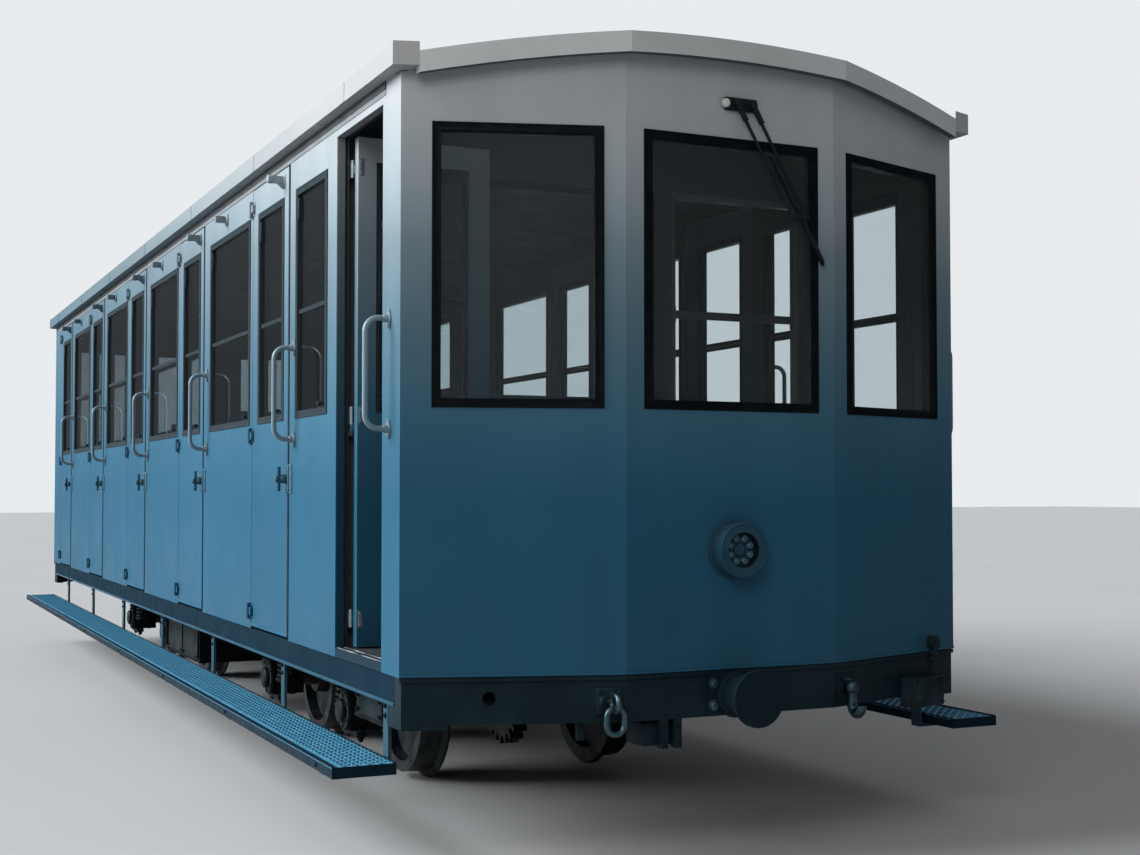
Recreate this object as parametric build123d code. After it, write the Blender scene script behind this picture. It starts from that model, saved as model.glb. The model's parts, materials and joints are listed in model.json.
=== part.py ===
"""Rack-railway coach, driving end leading, for 800 mm gauge.

Frame: +Y from the leading end towards the rear, +Z up, +X to the right of
someone who faces the leading end.  Names call the -X side left and the +X side
right.  The origin lies under the middle of the coach, level with the bottom of
the wheel flanges.  All sizes are millimetres.

Lengthwise places along the body are written as a distance back from the
leading face and turned into Y by along().
"""
from build123d import *
import math
import os

# --- driving dimensions ------------------------------------------------------
BODY_LENGTH = 9260.0        # over the two end panels
BODY_HALF = 1100.0          # half of the body's width
WALL = 45.0                 # thickness of side and end walls
GAP = 5.0                   # working gap round every door
FLANGE_DROP = 25.0          # wheel flange below the tread
RAIL_TOP = FLANGE_DROP      # height of the rail's top above the flange bottoms

# the three facets of an end
CENTRE_HALF = 407.0         # half width of the centre facet
SETBACK = 229.0             # how far the outer corners lie behind the centre
FACET_SLOPE = SETBACK / (BODY_HALF - CENTRE_HALF)
FACET_ANGLE = math.degrees(math.atan(FACET_SLOPE))
MITRE = math.tan(math.radians(FACET_ANGLE / 2))

# heights
FRAME_BOTTOM = RAIL_TOP + 471.0      # underside of the headstocks
CORNER_BOTTOM = FRAME_BOTTOM - 15.0  # deeper plate at the headstock's ends
SOLE_BOTTOM = RAIL_TOP + 531.0
BODY_BOTTOM = RAIL_TOP + 624.0
FLOOR_TOP = BODY_BOTTOM + 31.0
END_WINDOW = (RAIL_TOP + 1487.0, RAIL_TOP + 2406.0)
SIDE_WINDOW = (RAIL_TOP + 1502.0, RAIL_TOP + 2404.0)
DOOR_BOTTOM = RAIL_TOP + 635.0
DOOR_TOP = RAIL_TOP + 2520.0
CAB_DOOR_TOP = RAIL_TOP + 2494.0
CAB_OPENING_TOP = CAB_DOOR_TOP + GAP
OPENING_TOP = DOOR_TOP + GAP
ROOF_CROWN = RAIL_TOP + 2722.0

# roof
ROOF_RADIUS = 5450.0
ROOF_THICK = 45.0
ROOF_HALF = 1065.0
CORNICE_DEPTH = 68.0
CORNICE_OUT = 65.0          # cornice face beyond the end panels
CORNICE_IN = 35.0
GUTTER_HALF = 1146.0
GUTTER_BOTTOM = RAIL_TOP + 2570.0
GUTTER_TOP = RAIL_TOP + 2640.0
GUTTER_PLATE_TOP = RAIL_TOP + 2646.0
GUTTER_SKIN = 6.0

# side bays: distances back from the leading face
CAB_DOORWAY = (409.0, 934.0)
QUARTER_WINDOW = (1050.0, 1485.0)
FIRST_SEAM = 1577.0         # lock side of the first compartment door
BAY_PITCH = 1605.0
BAYS = 5
DOOR_WIDTH = 610.0
DOOR_THICK = 40.0
DOOR_WINDOW = (90.0, 513.0)     # from the seam
WIDE_WINDOW = (658.0, 1468.0)   # from the seam
GRAB_FROM_SEAM = 75.0
CAB_GRAB = 337.0

# glass
PANE = 6.0
PANE_INSET = 8.0

# underframe
SOLE_HALF = 1092.0
SOLE_THICK = 50.0
HEAD_INSET = 6.0
HEAD_THICK = 60.0
HEAD_RETURN = (250.0, 370.0)    # headstock's return along the side
SOLE_START = 298.0          # sole bar's ends from the end panels
DEEP_PLATE_IN = 950.0       # the headstock's deeper plates lie outside this
BEAM_HOLE = (443.0, RAIL_TOP + 554.0, 22.0)     # run from the crease, height, radius
CENTRE_SILL_HALF = 150.0
CENTRE_SILL_THICK = 40.0

# bogies and wheels
BOGIE_CENTRE = 2610.0
WHEELBASE = 1300.0
TREAD_RADIUS = 280.0
FLANGE_RADIUS = TREAD_RADIUS + FLANGE_DROP
AXLE_HEIGHT = FLANGE_RADIUS
AXLE_RADIUS = 48.0
JOURNAL_RADIUS = 40.0
JOURNAL_END = 700.0
WHEEL_INNER = 376.0
WHEEL_OUTER = 501.0
FLANGE_WIDTH = 26.0
PINION_TEETH = 20
PINION_RADIUS = 190.0


# --- helpers -----------------------------------------------------------------
def along(distance):
    """Y of a place that lies distance back from the leading face."""
    return distance - BODY_LENGTH / 2


def block(x_span, y_span, z_span):
    """An upright box between pairs of limits."""
    centre = [(a + b) / 2 for a, b in (x_span, y_span, z_span)]
    sizes = [abs(b - a) for a, b in (x_span, y_span, z_span)]
    return Pos(*centre) * Box(*sizes)


def prism(points, z_span):
    """An upright prism on a closed outline of (x, y) points."""
    outline = make_face(Polyline(*points, close=True))
    return Pos(0, 0, z_span[0]) * extrude(outline, z_span[1] - z_span[0])


def rod_x(radius, x_span, y, z):
    """A round bar along X."""
    middle = (x_span[0] + x_span[1]) / 2
    return Pos(middle, y, z) * Rot(0, 90, 0) * Cylinder(radius, abs(x_span[1] - x_span[0]))


def rod_y(radius, y_span, x, z):
    """A round bar along Y."""
    middle = (y_span[0] + y_span[1]) / 2
    return Pos(x, middle, z) * Rot(90, 0, 0) * Cylinder(radius, abs(y_span[1] - y_span[0]))


def rod_z(radius, z_span, x, y):
    """A round bar along Z."""
    return Pos(x, y, (z_span[0] + z_span[1]) / 2) * Cylinder(radius, abs(z_span[1] - z_span[0]))


def mirror_y(shape):
    """The same shape at the other end of the coach."""
    return mirror(shape, Plane.XZ)


def mirror_x(shape):
    """The same shape on the other side of the coach."""
    return mirror(shape, Plane.YZ)


def on_side(shape, side):
    """Shapes are drawn on the -X side; side +1 mirrors them across."""
    return mirror_x(shape) if side > 0 else shape


def end_line(offset, half):
    """Four (x, y) points of the leading end's facets, offset outwards."""
    crease = CENTRE_HALF + MITRE * offset
    corner = -offset + (half - crease) * FACET_SLOPE
    return [(-half, along(corner)), (-crease, along(-offset)),
            (crease, along(-offset)), (half, along(corner))]


def end_band(outer, inner, half, z_span):
    """A band along the leading end's facets between two offsets."""
    points = end_line(outer, half) + end_line(inner, half)[::-1]
    return prism(points, z_span)


def body_plan(offset, half, z_span):
    """A prism on the whole coach's outline in plan."""
    front = end_line(offset, half)
    rear = [(x, -y) for x, y in reversed(front)]
    return prism(front + rear, z_span)


def arch(drop):
    """A long round bar whose top follows the roof, drop below its skin."""
    radius = ROOF_RADIUS - drop
    return rod_y(radius, (-BODY_LENGTH, BODY_LENGTH), 0, ROOF_CROWN - ROOF_RADIUS)


def facet_place(side, run, height, out=0.0):
    """A location on a side facet: run from the crease, out from its face."""
    angle = math.radians(FACET_ANGLE)
    x = CENTRE_HALF + run * math.cos(angle) + out * math.sin(angle)
    y = run * math.sin(angle) - out * math.cos(angle)
    return Location((side * x, along(y), height), (0, 0, side * FACET_ANGLE))


def save(name, shapes):
    """Write one node; a list of shapes becomes separate solids in it."""
    solids = []
    for shape in shapes if isinstance(shapes, list) else [shapes]:
        solids += list(shape.solids())
    result = solids[0] if len(solids) == 1 else Compound(children=solids)
    result.label = name
    export_step(result, os.path.join("parts", name + ".step"))


# --- shell -------------------------------------------------------------------
UNDER_ROOF = arch(ROOF_THICK)
WALL_TOP = ROOF_CROWN + 10.0

# (run from the crease where a window starts, where it ends) on a side facet
FACET_WINDOW = (72.5, 628.5)
CENTRE_WINDOW_HALF = 339.0


def facet_window(side, depth_span, z_span):
    """A block through or within a side facet's window."""
    run = (FACET_WINDOW[0] + FACET_WINDOW[1]) / 2
    depth = (depth_span[0] + depth_span[1]) / 2
    height = (z_span[0] + z_span[1]) / 2
    size = Box(FACET_WINDOW[1] - FACET_WINDOW[0], depth_span[1] - depth_span[0],
               z_span[1] - z_span[0])
    return facet_place(side, run, height, -depth) * size


def centre_window(depth_span, z_span):
    """A block through or within the centre facet's window."""
    y_span = (along(depth_span[0]), along(depth_span[1]))
    return block((-CENTRE_WINDOW_HALF, CENTRE_WINDOW_HALF), y_span, z_span)


def end_wall():
    """Leading end: three flat panels with their window openings."""
    wall = end_band(0, -WALL, BODY_HALF, (BODY_BOTTOM, WALL_TOP)) & UNDER_ROOF
    for side in (-1, 1):
        wall -= on_side(block((-BODY_HALF, -ROOF_HALF), (-BODY_LENGTH, BODY_LENGTH),
                              (GUTTER_BOTTOM, WALL_TOP)), side)
    through = (-60.0, WALL + 60.0)
    for side in (-1, 1):
        wall -= facet_window(side, through, END_WINDOW)
    return wall - centre_window(through, END_WINDOW)


def end_glass():
    """The three panes of an end."""
    depth = (PANE_INSET, PANE_INSET + PANE)
    panes = [facet_window(side, depth, END_WINDOW) for side in (-1, 1)]
    return panes + [centre_window(depth, END_WINDOW)]


def seam(bay):
    """Distance back of a bay's lock seam."""
    return FIRST_SEAM + BAY_PITCH * bay


def doorway(bay):
    """Limits of a compartment doorway, back from the leading face."""
    start = seam(bay) - GAP / 2
    return start, start + DOOR_WIDTH + 2 * GAP


CORNER_BACK = end_line(-WALL, BODY_HALF)[0][1] - along(0)
WALL_ENDS = (CORNER_BACK, BODY_LENGTH - CORNER_BACK)


def side_sections():
    """Columns: start, end, window start, window end (None without a window)."""
    rows = [(WALL_ENDS[0], CAB_DOORWAY[0], None, None),
            (CAB_DOORWAY[1], doorway(0)[0], *QUARTER_WINDOW)]
    for bay in range(BAYS - 1):
        window = [seam(bay) + edge for edge in WIDE_WINDOW]
        rows.append((doorway(bay)[1], doorway(bay + 1)[0], *window))
    rows.append((doorway(BAYS - 1)[1], WALL_ENDS[1], None, None))
    return rows


CATCH = (55.0, 14.0, 30.0)      # reach, width, height of a door catch
CATCH_RADIUS = 510.0            # from the hinge to the catch and the stop arm
CATCH_BOTTOM = RAIL_TOP + 2462.0

HINGE_OUT = 12.0                # hinge pin beyond the side's face
HINGE_HEIGHTS = (RAIL_TOP + 700.0, RAIL_TOP + 1455.0, RAIL_TOP + 2440.0)
HINGE_STRAP = 34.0              # from the pin to the end of a knuckle's strap
KNUCKLE_RADIUS = 9.0
KNUCKLE = 32.0                  # length of the door's knuckle
EAR = 16.0                      # length of each of the wall's knuckles
KNUCKLE_PLAY = 1.0

CAB_HINGE_IN = 57.0             # cab door's pin inside the side's outer face
CAB_HINGE_HEIGHTS = (RAIL_TOP + 760.0, RAIL_TOP + 1450.0, RAIL_TOP + 2385.0)
CAB_KNUCKLE_RADIUS = 7.0
CAB_STRAP = (1.0, 24.0)         # a jamb strap's start and end from the pin


def knuckle_pair(height):
    """Height limits of the wall's knuckles above and below a door's."""
    half = KNUCKLE / 2 + KNUCKLE_PLAY
    return (height - half - EAR, height - half), (height + half, height + half + EAR)


def hinge_y(bay):
    """Y of a compartment door's hinge pin."""
    return along(doorway(bay)[1] - GAP / 2)


def wall_ears(bay):
    """The wall's knuckles above and below each of the door's."""
    ears = []
    x = -BODY_HALF - HINGE_OUT
    y = hinge_y(bay)
    for height in HINGE_HEIGHTS:
        for span in knuckle_pair(height):
            ears.append(rod_z(KNUCKLE_RADIUS, span, x, y)
                        + block((x, -BODY_HALF), (y + GAP / 2, y + HINGE_STRAP), span))
    return ears


def cab_hinge_place():
    """X and Y of the cab door's hinge pin on the -X side."""
    return -BODY_HALF + CAB_HINGE_IN, along(CAB_DOORWAY[1] - GAP)


def cab_ears():
    """The jamb's knuckles of the cab door."""
    ears = []
    x, y = cab_hinge_place()
    for height in CAB_HINGE_HEIGHTS:
        for span in knuckle_pair(height):
            ears.append(rod_z(CAB_KNUCKLE_RADIUS, span, x, y)
                        + block((-BODY_HALF + WALL, x), [y + edge for edge in CAB_STRAP], span))
    return ears


def side_panels():
    """Fixed panels of the -X side, each a whole wall with its window cut."""
    panels = []
    ears = {2 + bay: wall_ears(bay) for bay in range(BAYS)}
    ears[1] = cab_ears()
    for row, (start, end, window_start, window_end) in enumerate(side_sections()):
        panel = block((-BODY_HALF, -BODY_HALF + WALL), (along(start), along(end)),
                      (BODY_BOTTOM, OPENING_TOP))
        if window_start:
            panel -= block((-BODY_HALF - 50, -BODY_HALF + WALL + 50),
                           (along(window_start), along(window_end)), SIDE_WINDOW)
        for ear in ears.get(row, []):
            panel += ear
        bay = row - 2
        if 0 <= bay < BAYS:
            y = hinge_y(bay) + CATCH_RADIUS
            if y < along(end) - CATCH[1]:
                panel += block((-BODY_HALF - CATCH[0], -BODY_HALF),
                               (y - CATCH[1] / 2, y + CATCH[1] / 2),
                               (CATCH_BOTTOM, CATCH_BOTTOM + CATCH[2]))
        panels.append(panel)
    return panels


def side_glass():
    """Fixed panes of the -X side."""
    x_span = (-BODY_HALF + PANE_INSET, -BODY_HALF + PANE_INSET + PANE)
    return [block(x_span, (along(start), along(end)), SIDE_WINDOW)
            for _, _, start, end in side_sections() if start]


def cant_rail():
    """Top member of the -X side, above doors and panels."""
    rail = block((-BODY_HALF, -BODY_HALF + WALL), (along(WALL_ENDS[0]), along(WALL_ENDS[1])),
                 (OPENING_TOP, GUTTER_BOTTOM))
    head = block((-BODY_HALF, -BODY_HALF + WALL), [along(edge) for edge in CAB_DOORWAY],
                 (CAB_OPENING_TOP, OPENING_TOP))
    return rail + head


def roof():
    """Arched roof, cut to the body's outline."""
    skin = arch(0) - arch(ROOF_THICK)
    return skin & body_plan(CORNICE_IN, ROOF_HALF, (GUTTER_BOTTOM - 100, WALL_TOP))


def cornice():
    """Deep band round the leading end of the roof."""
    band = end_band(CORNICE_OUT, CORNICE_IN, ROOF_HALF, (GUTTER_BOTTOM - 100, WALL_TOP))
    return band & (arch(0) - arch(CORNICE_DEPTH))


def gutter():
    """Box gutter along the -X edge of the roof, with its end plates."""
    limits = body_plan(CORNICE_OUT, GUTTER_HALF, (GUTTER_BOTTOM, GUTTER_PLATE_TOP))
    inside = body_plan(CORNICE_OUT - GUTTER_SKIN, GUTTER_HALF, (GUTTER_BOTTOM, GUTTER_PLATE_TOP))
    y_span = (-BODY_LENGTH, BODY_LENGTH)
    whole = block((-GUTTER_HALF, -ROOF_HALF), y_span, (GUTTER_BOTTOM, GUTTER_TOP))
    bore = block((-GUTTER_HALF + GUTTER_SKIN, -ROOF_HALF), y_span,
                 (GUTTER_BOTTOM + GUTTER_SKIN, GUTTER_TOP + 1))
    plates = block((-GUTTER_HALF, -ROOF_HALF), y_span, (GUTTER_BOTTOM, GUTTER_PLATE_TOP))
    return ((whole - bore) & limits) + ((plates & limits) - inside)


# --- underframe --------------------------------------------------------------
# (distance back, width along Y) of the cross members
CROSS_MEMBERS = ((900.0, 100.0), (BOGIE_CENTRE, 300.0), (4000.0, 90.0), (4630.0, 90.0),
                 (5260.0, 90.0), (BODY_LENGTH - BOGIE_CENTRE, 300.0),
                 (BODY_LENGTH - 900.0, 100.0))


def floor():
    """Floor board, with a threshold through each cab doorway."""
    board = body_plan(-WALL, BODY_HALF - WALL, (BODY_BOTTOM, FLOOR_TOP))
    for side in (-1, 1):
        board += on_side(block((-BODY_HALF, -BODY_HALF + WALL),
                               [along(edge) for edge in CAB_DOORWAY],
                               (BODY_BOTTOM, FLOOR_TOP)), side)
    return board


def headstock():
    """Leading buffer beam, folded to the three facets, with side returns."""
    height = (FRAME_BOTTOM, BODY_BOTTOM)
    beam = end_band(-HEAD_INSET, -HEAD_INSET - HEAD_THICK, SOLE_HALF, height)
    deep = end_band(-HEAD_INSET, -HEAD_INSET - HEAD_THICK, SOLE_HALF, (CORNER_BOTTOM, FRAME_BOTTOM))
    beam += deep - block((-DEEP_PLATE_IN, DEEP_PLATE_IN), (-BODY_LENGTH, BODY_LENGTH),
                         (0, BODY_BOTTOM))
    run, hole_z, radius = BEAM_HOLE
    beam -= facet_place(-1, run, hole_z) * Rot(90, 0, 0) * Cylinder(radius, 5 * HEAD_THICK)
    for side in (-1, 1):
        beam += on_side(block((-SOLE_HALF, -SOLE_HALF + SOLE_THICK),
                              [along(edge) for edge in HEAD_RETURN],
                              (CORNER_BOTTOM, SOLE_BOTTOM))
                        & body_plan(-HEAD_INSET, SOLE_HALF, (CORNER_BOTTOM, SOLE_BOTTOM)), side)
    return beam


def sole_bar():
    """Long outer member of the frame on the -X side."""
    return block((-SOLE_HALF, -SOLE_HALF + SOLE_THICK),
                 (along(SOLE_START), along(BODY_LENGTH - SOLE_START)), (SOLE_BOTTOM, BODY_BOTTOM))


def centre_sill(side):
    """Long inner member of the frame beside the centre line."""
    inner = CENTRE_SILL_HALF - CENTRE_SILL_THICK
    edge = HEAD_INSET + HEAD_THICK
    return on_side(block((-CENTRE_SILL_HALF, -inner), (along(edge), along(BODY_LENGTH - edge)),
                         (SOLE_BOTTOM, BODY_BOTTOM)), side)


def cross_members():
    """Members across the frame, in lengths between sills and sole bars."""
    spans = ((-SOLE_HALF + SOLE_THICK, -CENTRE_SILL_HALF),
             (-CENTRE_SILL_HALF + CENTRE_SILL_THICK, CENTRE_SILL_HALF - CENTRE_SILL_THICK),
             (CENTRE_SILL_HALF, SOLE_HALF - SOLE_THICK))
    return [block(span, (along(place - width / 2), along(place + width / 2)),
                  (SOLE_BOTTOM, BODY_BOTTOM))
            for place, width in CROSS_MEMBERS for span in spans]


BOARD_X = (-1313.0, -1103.0)
BOARD_Z = (RAIL_TOP + 320.0, RAIL_TOP + 354.0)
BOARD_ENDS = 245.0
HANGER_X = (-1080.0, -1068.0)
HANGERS = [420.0 + 1310.0 * step for step in range(7)]
HANGER_WIDTH = 50.0
HANGER_FOOT = 12.0


def footboard():
    """Running board below the doors on the -X side."""
    return block(BOARD_X, (along(BOARD_ENDS), along(BODY_LENGTH - BOARD_ENDS)), BOARD_Z)


def board_hanger(place):
    """Flat bar bent outwards under the running board."""
    y_span = (along(place - HANGER_WIDTH / 2), along(place + HANGER_WIDTH / 2))
    drop = block(HANGER_X, y_span, (BOARD_Z[0] - HANGER_FOOT, SOLE_BOTTOM))
    foot = block((BOARD_X[0] + 15.0, HANGER_X[1]), y_span, (BOARD_Z[0] - HANGER_FOOT, BOARD_Z[0]))
    return drop + foot


# --- ends --------------------------------------------------------------------
BUFFER_Z = RAIL_TOP + 542.0
BUFFER_REACH = 155.0
BUFFER_DISC = (94.0, 14.0)      # radius, thickness
BUFFER_SHANK = 68.0
BUFFER_PLATE = (105.0, 12.0)    # half width, thickness


def buffer():
    """Central buffer of the leading end: base plate, shank and round head."""
    front = along(-BUFFER_REACH)
    face = along(HEAD_INSET)
    head = rod_y(BUFFER_DISC[0], (front, front + BUFFER_DISC[1]), 0, BUFFER_Z)
    shank = rod_y(BUFFER_SHANK, (front + BUFFER_DISC[1], face), 0, BUFFER_Z)
    half, thick = BUFFER_PLATE
    plate = block((-half, half), (face - thick, face), (FRAME_BOTTOM + 4, BODY_BOTTOM - 12))
    return head + shank + plate


DRAW_X = 460.0
DRAW_Z = RAIL_TOP + 540.0
EYE_OUT = 52.0                  # eye's centre in front of the beam at its place
EYE = (24.0, 10.0)              # ring radius, bar radius of the eye
SHANK = 13.0
WASHER = (32.0, 14.0)           # radius, thickness in front of the beam
LINK = (32.0, 43.0, 10.0)       # half width, half height, bar radius
HOOK_RADIUS = 17.0
HOOK_DROP = 60.0                # from the hook's boss to the start of its bend
HOOK_MOUTH = 27.0               # radius of its bend


def draw_point(side):
    """Y of the beam's face where a drawbar eye sits."""
    return along(HEAD_INSET + max(0.0, (DRAW_X - CENTRE_HALF) * FACET_SLOPE))


def ring_path(half_width, half_height):
    """A closed oval of two straights and two half circles in the XZ plane."""
    straight = half_height - half_width
    right = Line((half_width, 0, -straight), (half_width, 0, straight))
    upper = ThreePointArc((half_width, 0, straight), (0, 0, half_height), (-half_width, 0, straight))
    left = Line((-half_width, 0, straight), (-half_width, 0, -straight))
    lower = ThreePointArc((-half_width, 0, -straight), (0, 0, -half_height),
                          (half_width, 0, -straight))
    return Wire([right, upper, left, lower])


def oval_link(half_width, half_height, radius):
    """An oval chain link standing in the XZ plane about the origin."""
    path = ring_path(half_width, half_height)
    start = Plane(origin=(half_width, 0, -(half_height - half_width)), z_dir=(0, 0, 1))
    return sweep(start * Circle(radius), path=path)


def draw_gear(side):
    """Drawbar eye with a hanging link (-X side) or a drop hook (+X side)."""
    face = draw_point(side)
    x = side * DRAW_X
    eye_y = face - EYE_OUT
    ring, bar = EYE
    gear = rod_y(SHANK, (eye_y + ring - bar / 4, face + 20), x, DRAW_Z)
    gear += rod_y(WASHER[0], (face - WASHER[1], face + 12), x, DRAW_Z)
    if side < 0:
        gear += Pos(x, eye_y, DRAW_Z) * Rot(0, 90, 0) * Torus(ring, bar)
        gear += Pos(x, eye_y, DRAW_Z - ring - LINK[1] + bar) * oval_link(*LINK)
    else:
        bend = Wire([Line((0, 0, 0), (0, 0, -HOOK_DROP)),
                     ThreePointArc((0, 0, -HOOK_DROP), (0, -HOOK_MOUTH, -HOOK_DROP - HOOK_MOUTH),
                                   (0, -2 * HOOK_MOUTH, -HOOK_DROP + 2))])
        hook = sweep(Plane(origin=(0, 0, 0), z_dir=(0, 0, -1)) * Circle(HOOK_RADIUS), path=bend)
        gear += Pos(x, eye_y + bar, DRAW_Z) * hook
        gear += Pos(x, eye_y + bar, DRAW_Z) * Sphere(HOOK_RADIUS + 8)
        gear += rod_y(SHANK + 8, (eye_y + bar, face), x, DRAW_Z)
    behind = end_band(-HEAD_INSET, -HEAD_INSET - 2 * HEAD_THICK, SOLE_HALF,
                      (FRAME_BOTTOM, BODY_BOTTOM))
    return gear - behind


LAMP_Z = RAIL_TOP + 1022.0
LAMP = (93.0, 60.0, 62.0)       # outer radius, opening radius, reach
LAMP_FLOOR = 26.0               # floor of its recess in front of the panel


def headlight():
    """Round lamp body with a stepped recess for its cluster."""
    face = along(0)
    body = rod_y(LAMP[0], (face - LAMP[2], face), 0, LAMP_Z)
    return body - rod_y(LAMP[1], (face - LAMP[2] - 1, face - LAMP_FLOOR), 0, LAMP_Z)


WIPER_PIVOTS = ((0.0, RAIL_TOP + 2522.0), (62.0, RAIL_TOP + 2518.0))
WIPER_REACH = (215.0, -365.0)
WIPER_BOX = ((-35.0, 85.0), 14.0, (RAIL_TOP + 2500.0, RAIL_TOP + 2544.0))   # X, reach, Z
WIPER_HUB = (11.0, 34.0)        # radius, reach
WIPER_ARM = (9.0, 8.0, 29.0)    # width, thickness, axis in front of the panel
WIPER_LINK = (-8.0, 70.0)       # cross link's ends from the first arm's tip
WIPER_LINK_DEPTH = (25.0, 33.0)
WIPER_BLADE = (12.0, 26.0, 420.0)
BLADE_OFFSET = (31.0, 15.0, 20.0)   # blade's middle from the tip: X, out, Z


def wiper():
    """Twin parallel arms and a blade over the centre window."""
    face = along(0)
    box_x, box_reach, box_z = WIPER_BOX
    pieces = block(box_x, (face - box_reach, face), box_z)
    length = math.hypot(*WIPER_REACH)
    tilt = math.degrees(math.atan2(-WIPER_REACH[0], -WIPER_REACH[1]))
    for x, z in WIPER_PIVOTS:
        pieces += rod_y(WIPER_HUB[0], (face - WIPER_HUB[1], face), x, z)
        middle = Pos(x + WIPER_REACH[0] / 2, face - WIPER_ARM[2], z + WIPER_REACH[1] / 2)
        pieces += middle * Rot(0, tilt, 0) * Box(WIPER_ARM[0], WIPER_ARM[1], length)
    tip_x = WIPER_PIVOTS[0][0] + WIPER_REACH[0]
    tip_z = WIPER_PIVOTS[0][1] + WIPER_REACH[1]
    pieces += block((tip_x + WIPER_LINK[0], tip_x + WIPER_LINK[1]),
                    (face - WIPER_LINK_DEPTH[1], face - WIPER_LINK_DEPTH[0]),
                    (tip_z - WIPER_ARM[1], tip_z + WIPER_ARM[1]))
    x, out, z = BLADE_OFFSET
    return pieces + Pos(tip_x + x, face - out, tip_z + z) * Rot(0, tilt, 0) * Box(*WIPER_BLADE)


COCK_RUN = 532.0                # riser's place along the facet from the crease
COCK_OUT = 40.0                 # riser's axis in front of the panel
COCK_BOX = (476.0, RAIL_TOP + 490.0, 30.0)      # run, height, out of its middle
COCK_BOX_SIZE = (190.0, 72.0, 112.0)
# the cock's round parts, columns: run, height, out, turn about X, about Y, radius, length
COCK_PARTS = ((COCK_RUN, RAIL_TOP + 592.0, COCK_OUT, 0, 0, 9.0, 180.0),
              (COCK_RUN, RAIL_TOP + 618.0, COCK_OUT, 0, 0, 20.0, 52.0),
              (COCK_RUN, RAIL_TOP + 678.0, COCK_OUT, 0, 90, 7.0, 60.0),
              (COCK_RUN, RAIL_TOP + 618.0, 60.0, 90, 0, 13.0, 60.0),
              (601.0, RAIL_TOP + 485.0, COCK_OUT, 0, 90, 10.0, 90.0))


def brake_cock():
    """Air cock at the +X end of the leading beam: box, riser, body, lever, nozzle, tail."""
    run, height, out = COCK_BOX
    cock = facet_place(1, run, height, out) * Box(*COCK_BOX_SIZE)
    for run, height, out, about_x, about_y, radius, length in COCK_PARTS:
        cock += (facet_place(1, run, height, out) * Rot(about_x, about_y, 0)
                 * Cylinder(radius, length))
    return cock


RAIL_RADIUS = 9.5
RAIL_REACH = 82.0
RAIL_FOOT = (22.0, 6.0)         # radius, thickness of a foot's flange
RAIL_HEIGHTS = (RAIL_TOP + 1420.0, RAIL_TOP + 1780.0)
RAIL_BEND = 45.0


def grab_rail(place):
    """Upright tube that stands off the -X side on two flanged feet."""
    y = along(place)
    low, high = RAIL_HEIGHTS
    x_wall = -BODY_HALF
    x_bar = x_wall - RAIL_REACH
    path = Wire([
        Line((x_wall, y, low), (x_bar + RAIL_BEND, y, low)),
        ThreePointArc((x_bar + RAIL_BEND, y, low),
                      (x_bar + RAIL_BEND * (1 - math.sqrt(0.5)), y,
                       low + RAIL_BEND * (1 - math.sqrt(0.5))),
                      (x_bar, y, low + RAIL_BEND)),
        Line((x_bar, y, low + RAIL_BEND), (x_bar, y, high - RAIL_BEND)),
        ThreePointArc((x_bar, y, high - RAIL_BEND),
                      (x_bar + RAIL_BEND * (1 - math.sqrt(0.5)), y,
                       high - RAIL_BEND * (1 - math.sqrt(0.5))),
                      (x_bar + RAIL_BEND, y, high)),
        Line((x_bar + RAIL_BEND, y, high), (x_wall, y, high))])
    tube = sweep(Plane(origin=(x_wall, y, low), z_dir=(-1, 0, 0)) * Circle(RAIL_RADIUS), path=path)
    for height in (low, high):
        tube += rod_x(RAIL_FOOT[0], (x_wall - RAIL_FOOT[1], x_wall), y, height)
    return tube


# --- doors -------------------------------------------------------------------
HANDLE_Z = RAIL_TOP + 1265.0
HANDLE_IN = 26.0                # from the door's free edge to the handle
HANDLE_STEM = (10.0, 48.0)      # radius, reach
HANDLE_BAR = (7.5, 48.0)        # radius, half length of the upright bar
HANDLE_REACH = 34.0             # bar's axis beyond the door's face
STOP_ARM = (65.0, 14.0, 30.0)   # reach, width, height


def door_leaf(bay):
    """Compartment door of the -X side with knuckles, handle and stop arm."""
    start, end = doorway(bay)
    y_span = (along(start + GAP), along(end - GAP))
    leaf = block((-BODY_HALF, -BODY_HALF + DOOR_THICK), y_span, (DOOR_BOTTOM, DOOR_TOP))
    window = [along(seam(bay) + edge) for edge in DOOR_WINDOW]
    leaf -= block((-BODY_HALF - 50, -BODY_HALF + DOOR_THICK + 50), window, SIDE_WINDOW)
    x = -BODY_HALF - HINGE_OUT
    y = hinge_y(bay)
    for height in HINGE_HEIGHTS:
        span = (height - KNUCKLE / 2, height + KNUCKLE / 2)
        leaf += rod_z(KNUCKLE_RADIUS, span, x, y)
        leaf += block((x, -BODY_HALF), (y - HINGE_STRAP, y - GAP / 2), span)
    handle_y = y_span[0] + HANDLE_IN
    leaf += rod_x(HANDLE_STEM[0], (-BODY_HALF - HANDLE_STEM[1], -BODY_HALF), handle_y, HANDLE_Z)
    leaf += rod_z(HANDLE_BAR[0], (HANDLE_Z - HANDLE_BAR[1], HANDLE_Z + HANDLE_BAR[1]),
                  -BODY_HALF - HANDLE_REACH, handle_y)
    arm_y = y - CATCH_RADIUS
    leaf += block((-BODY_HALF - STOP_ARM[0], -BODY_HALF),
                  (arm_y - STOP_ARM[1] / 2, arm_y + STOP_ARM[1] / 2),
                  (CATCH_BOTTOM, CATCH_BOTTOM + STOP_ARM[2]))
    return leaf


def door_pane(bay):
    """Pane of a compartment door of the -X side."""
    window = [along(seam(bay) + edge) for edge in DOOR_WINDOW]
    return block((-BODY_HALF + PANE_INSET, -BODY_HALF + PANE_INSET + PANE), window, SIDE_WINDOW)


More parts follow.
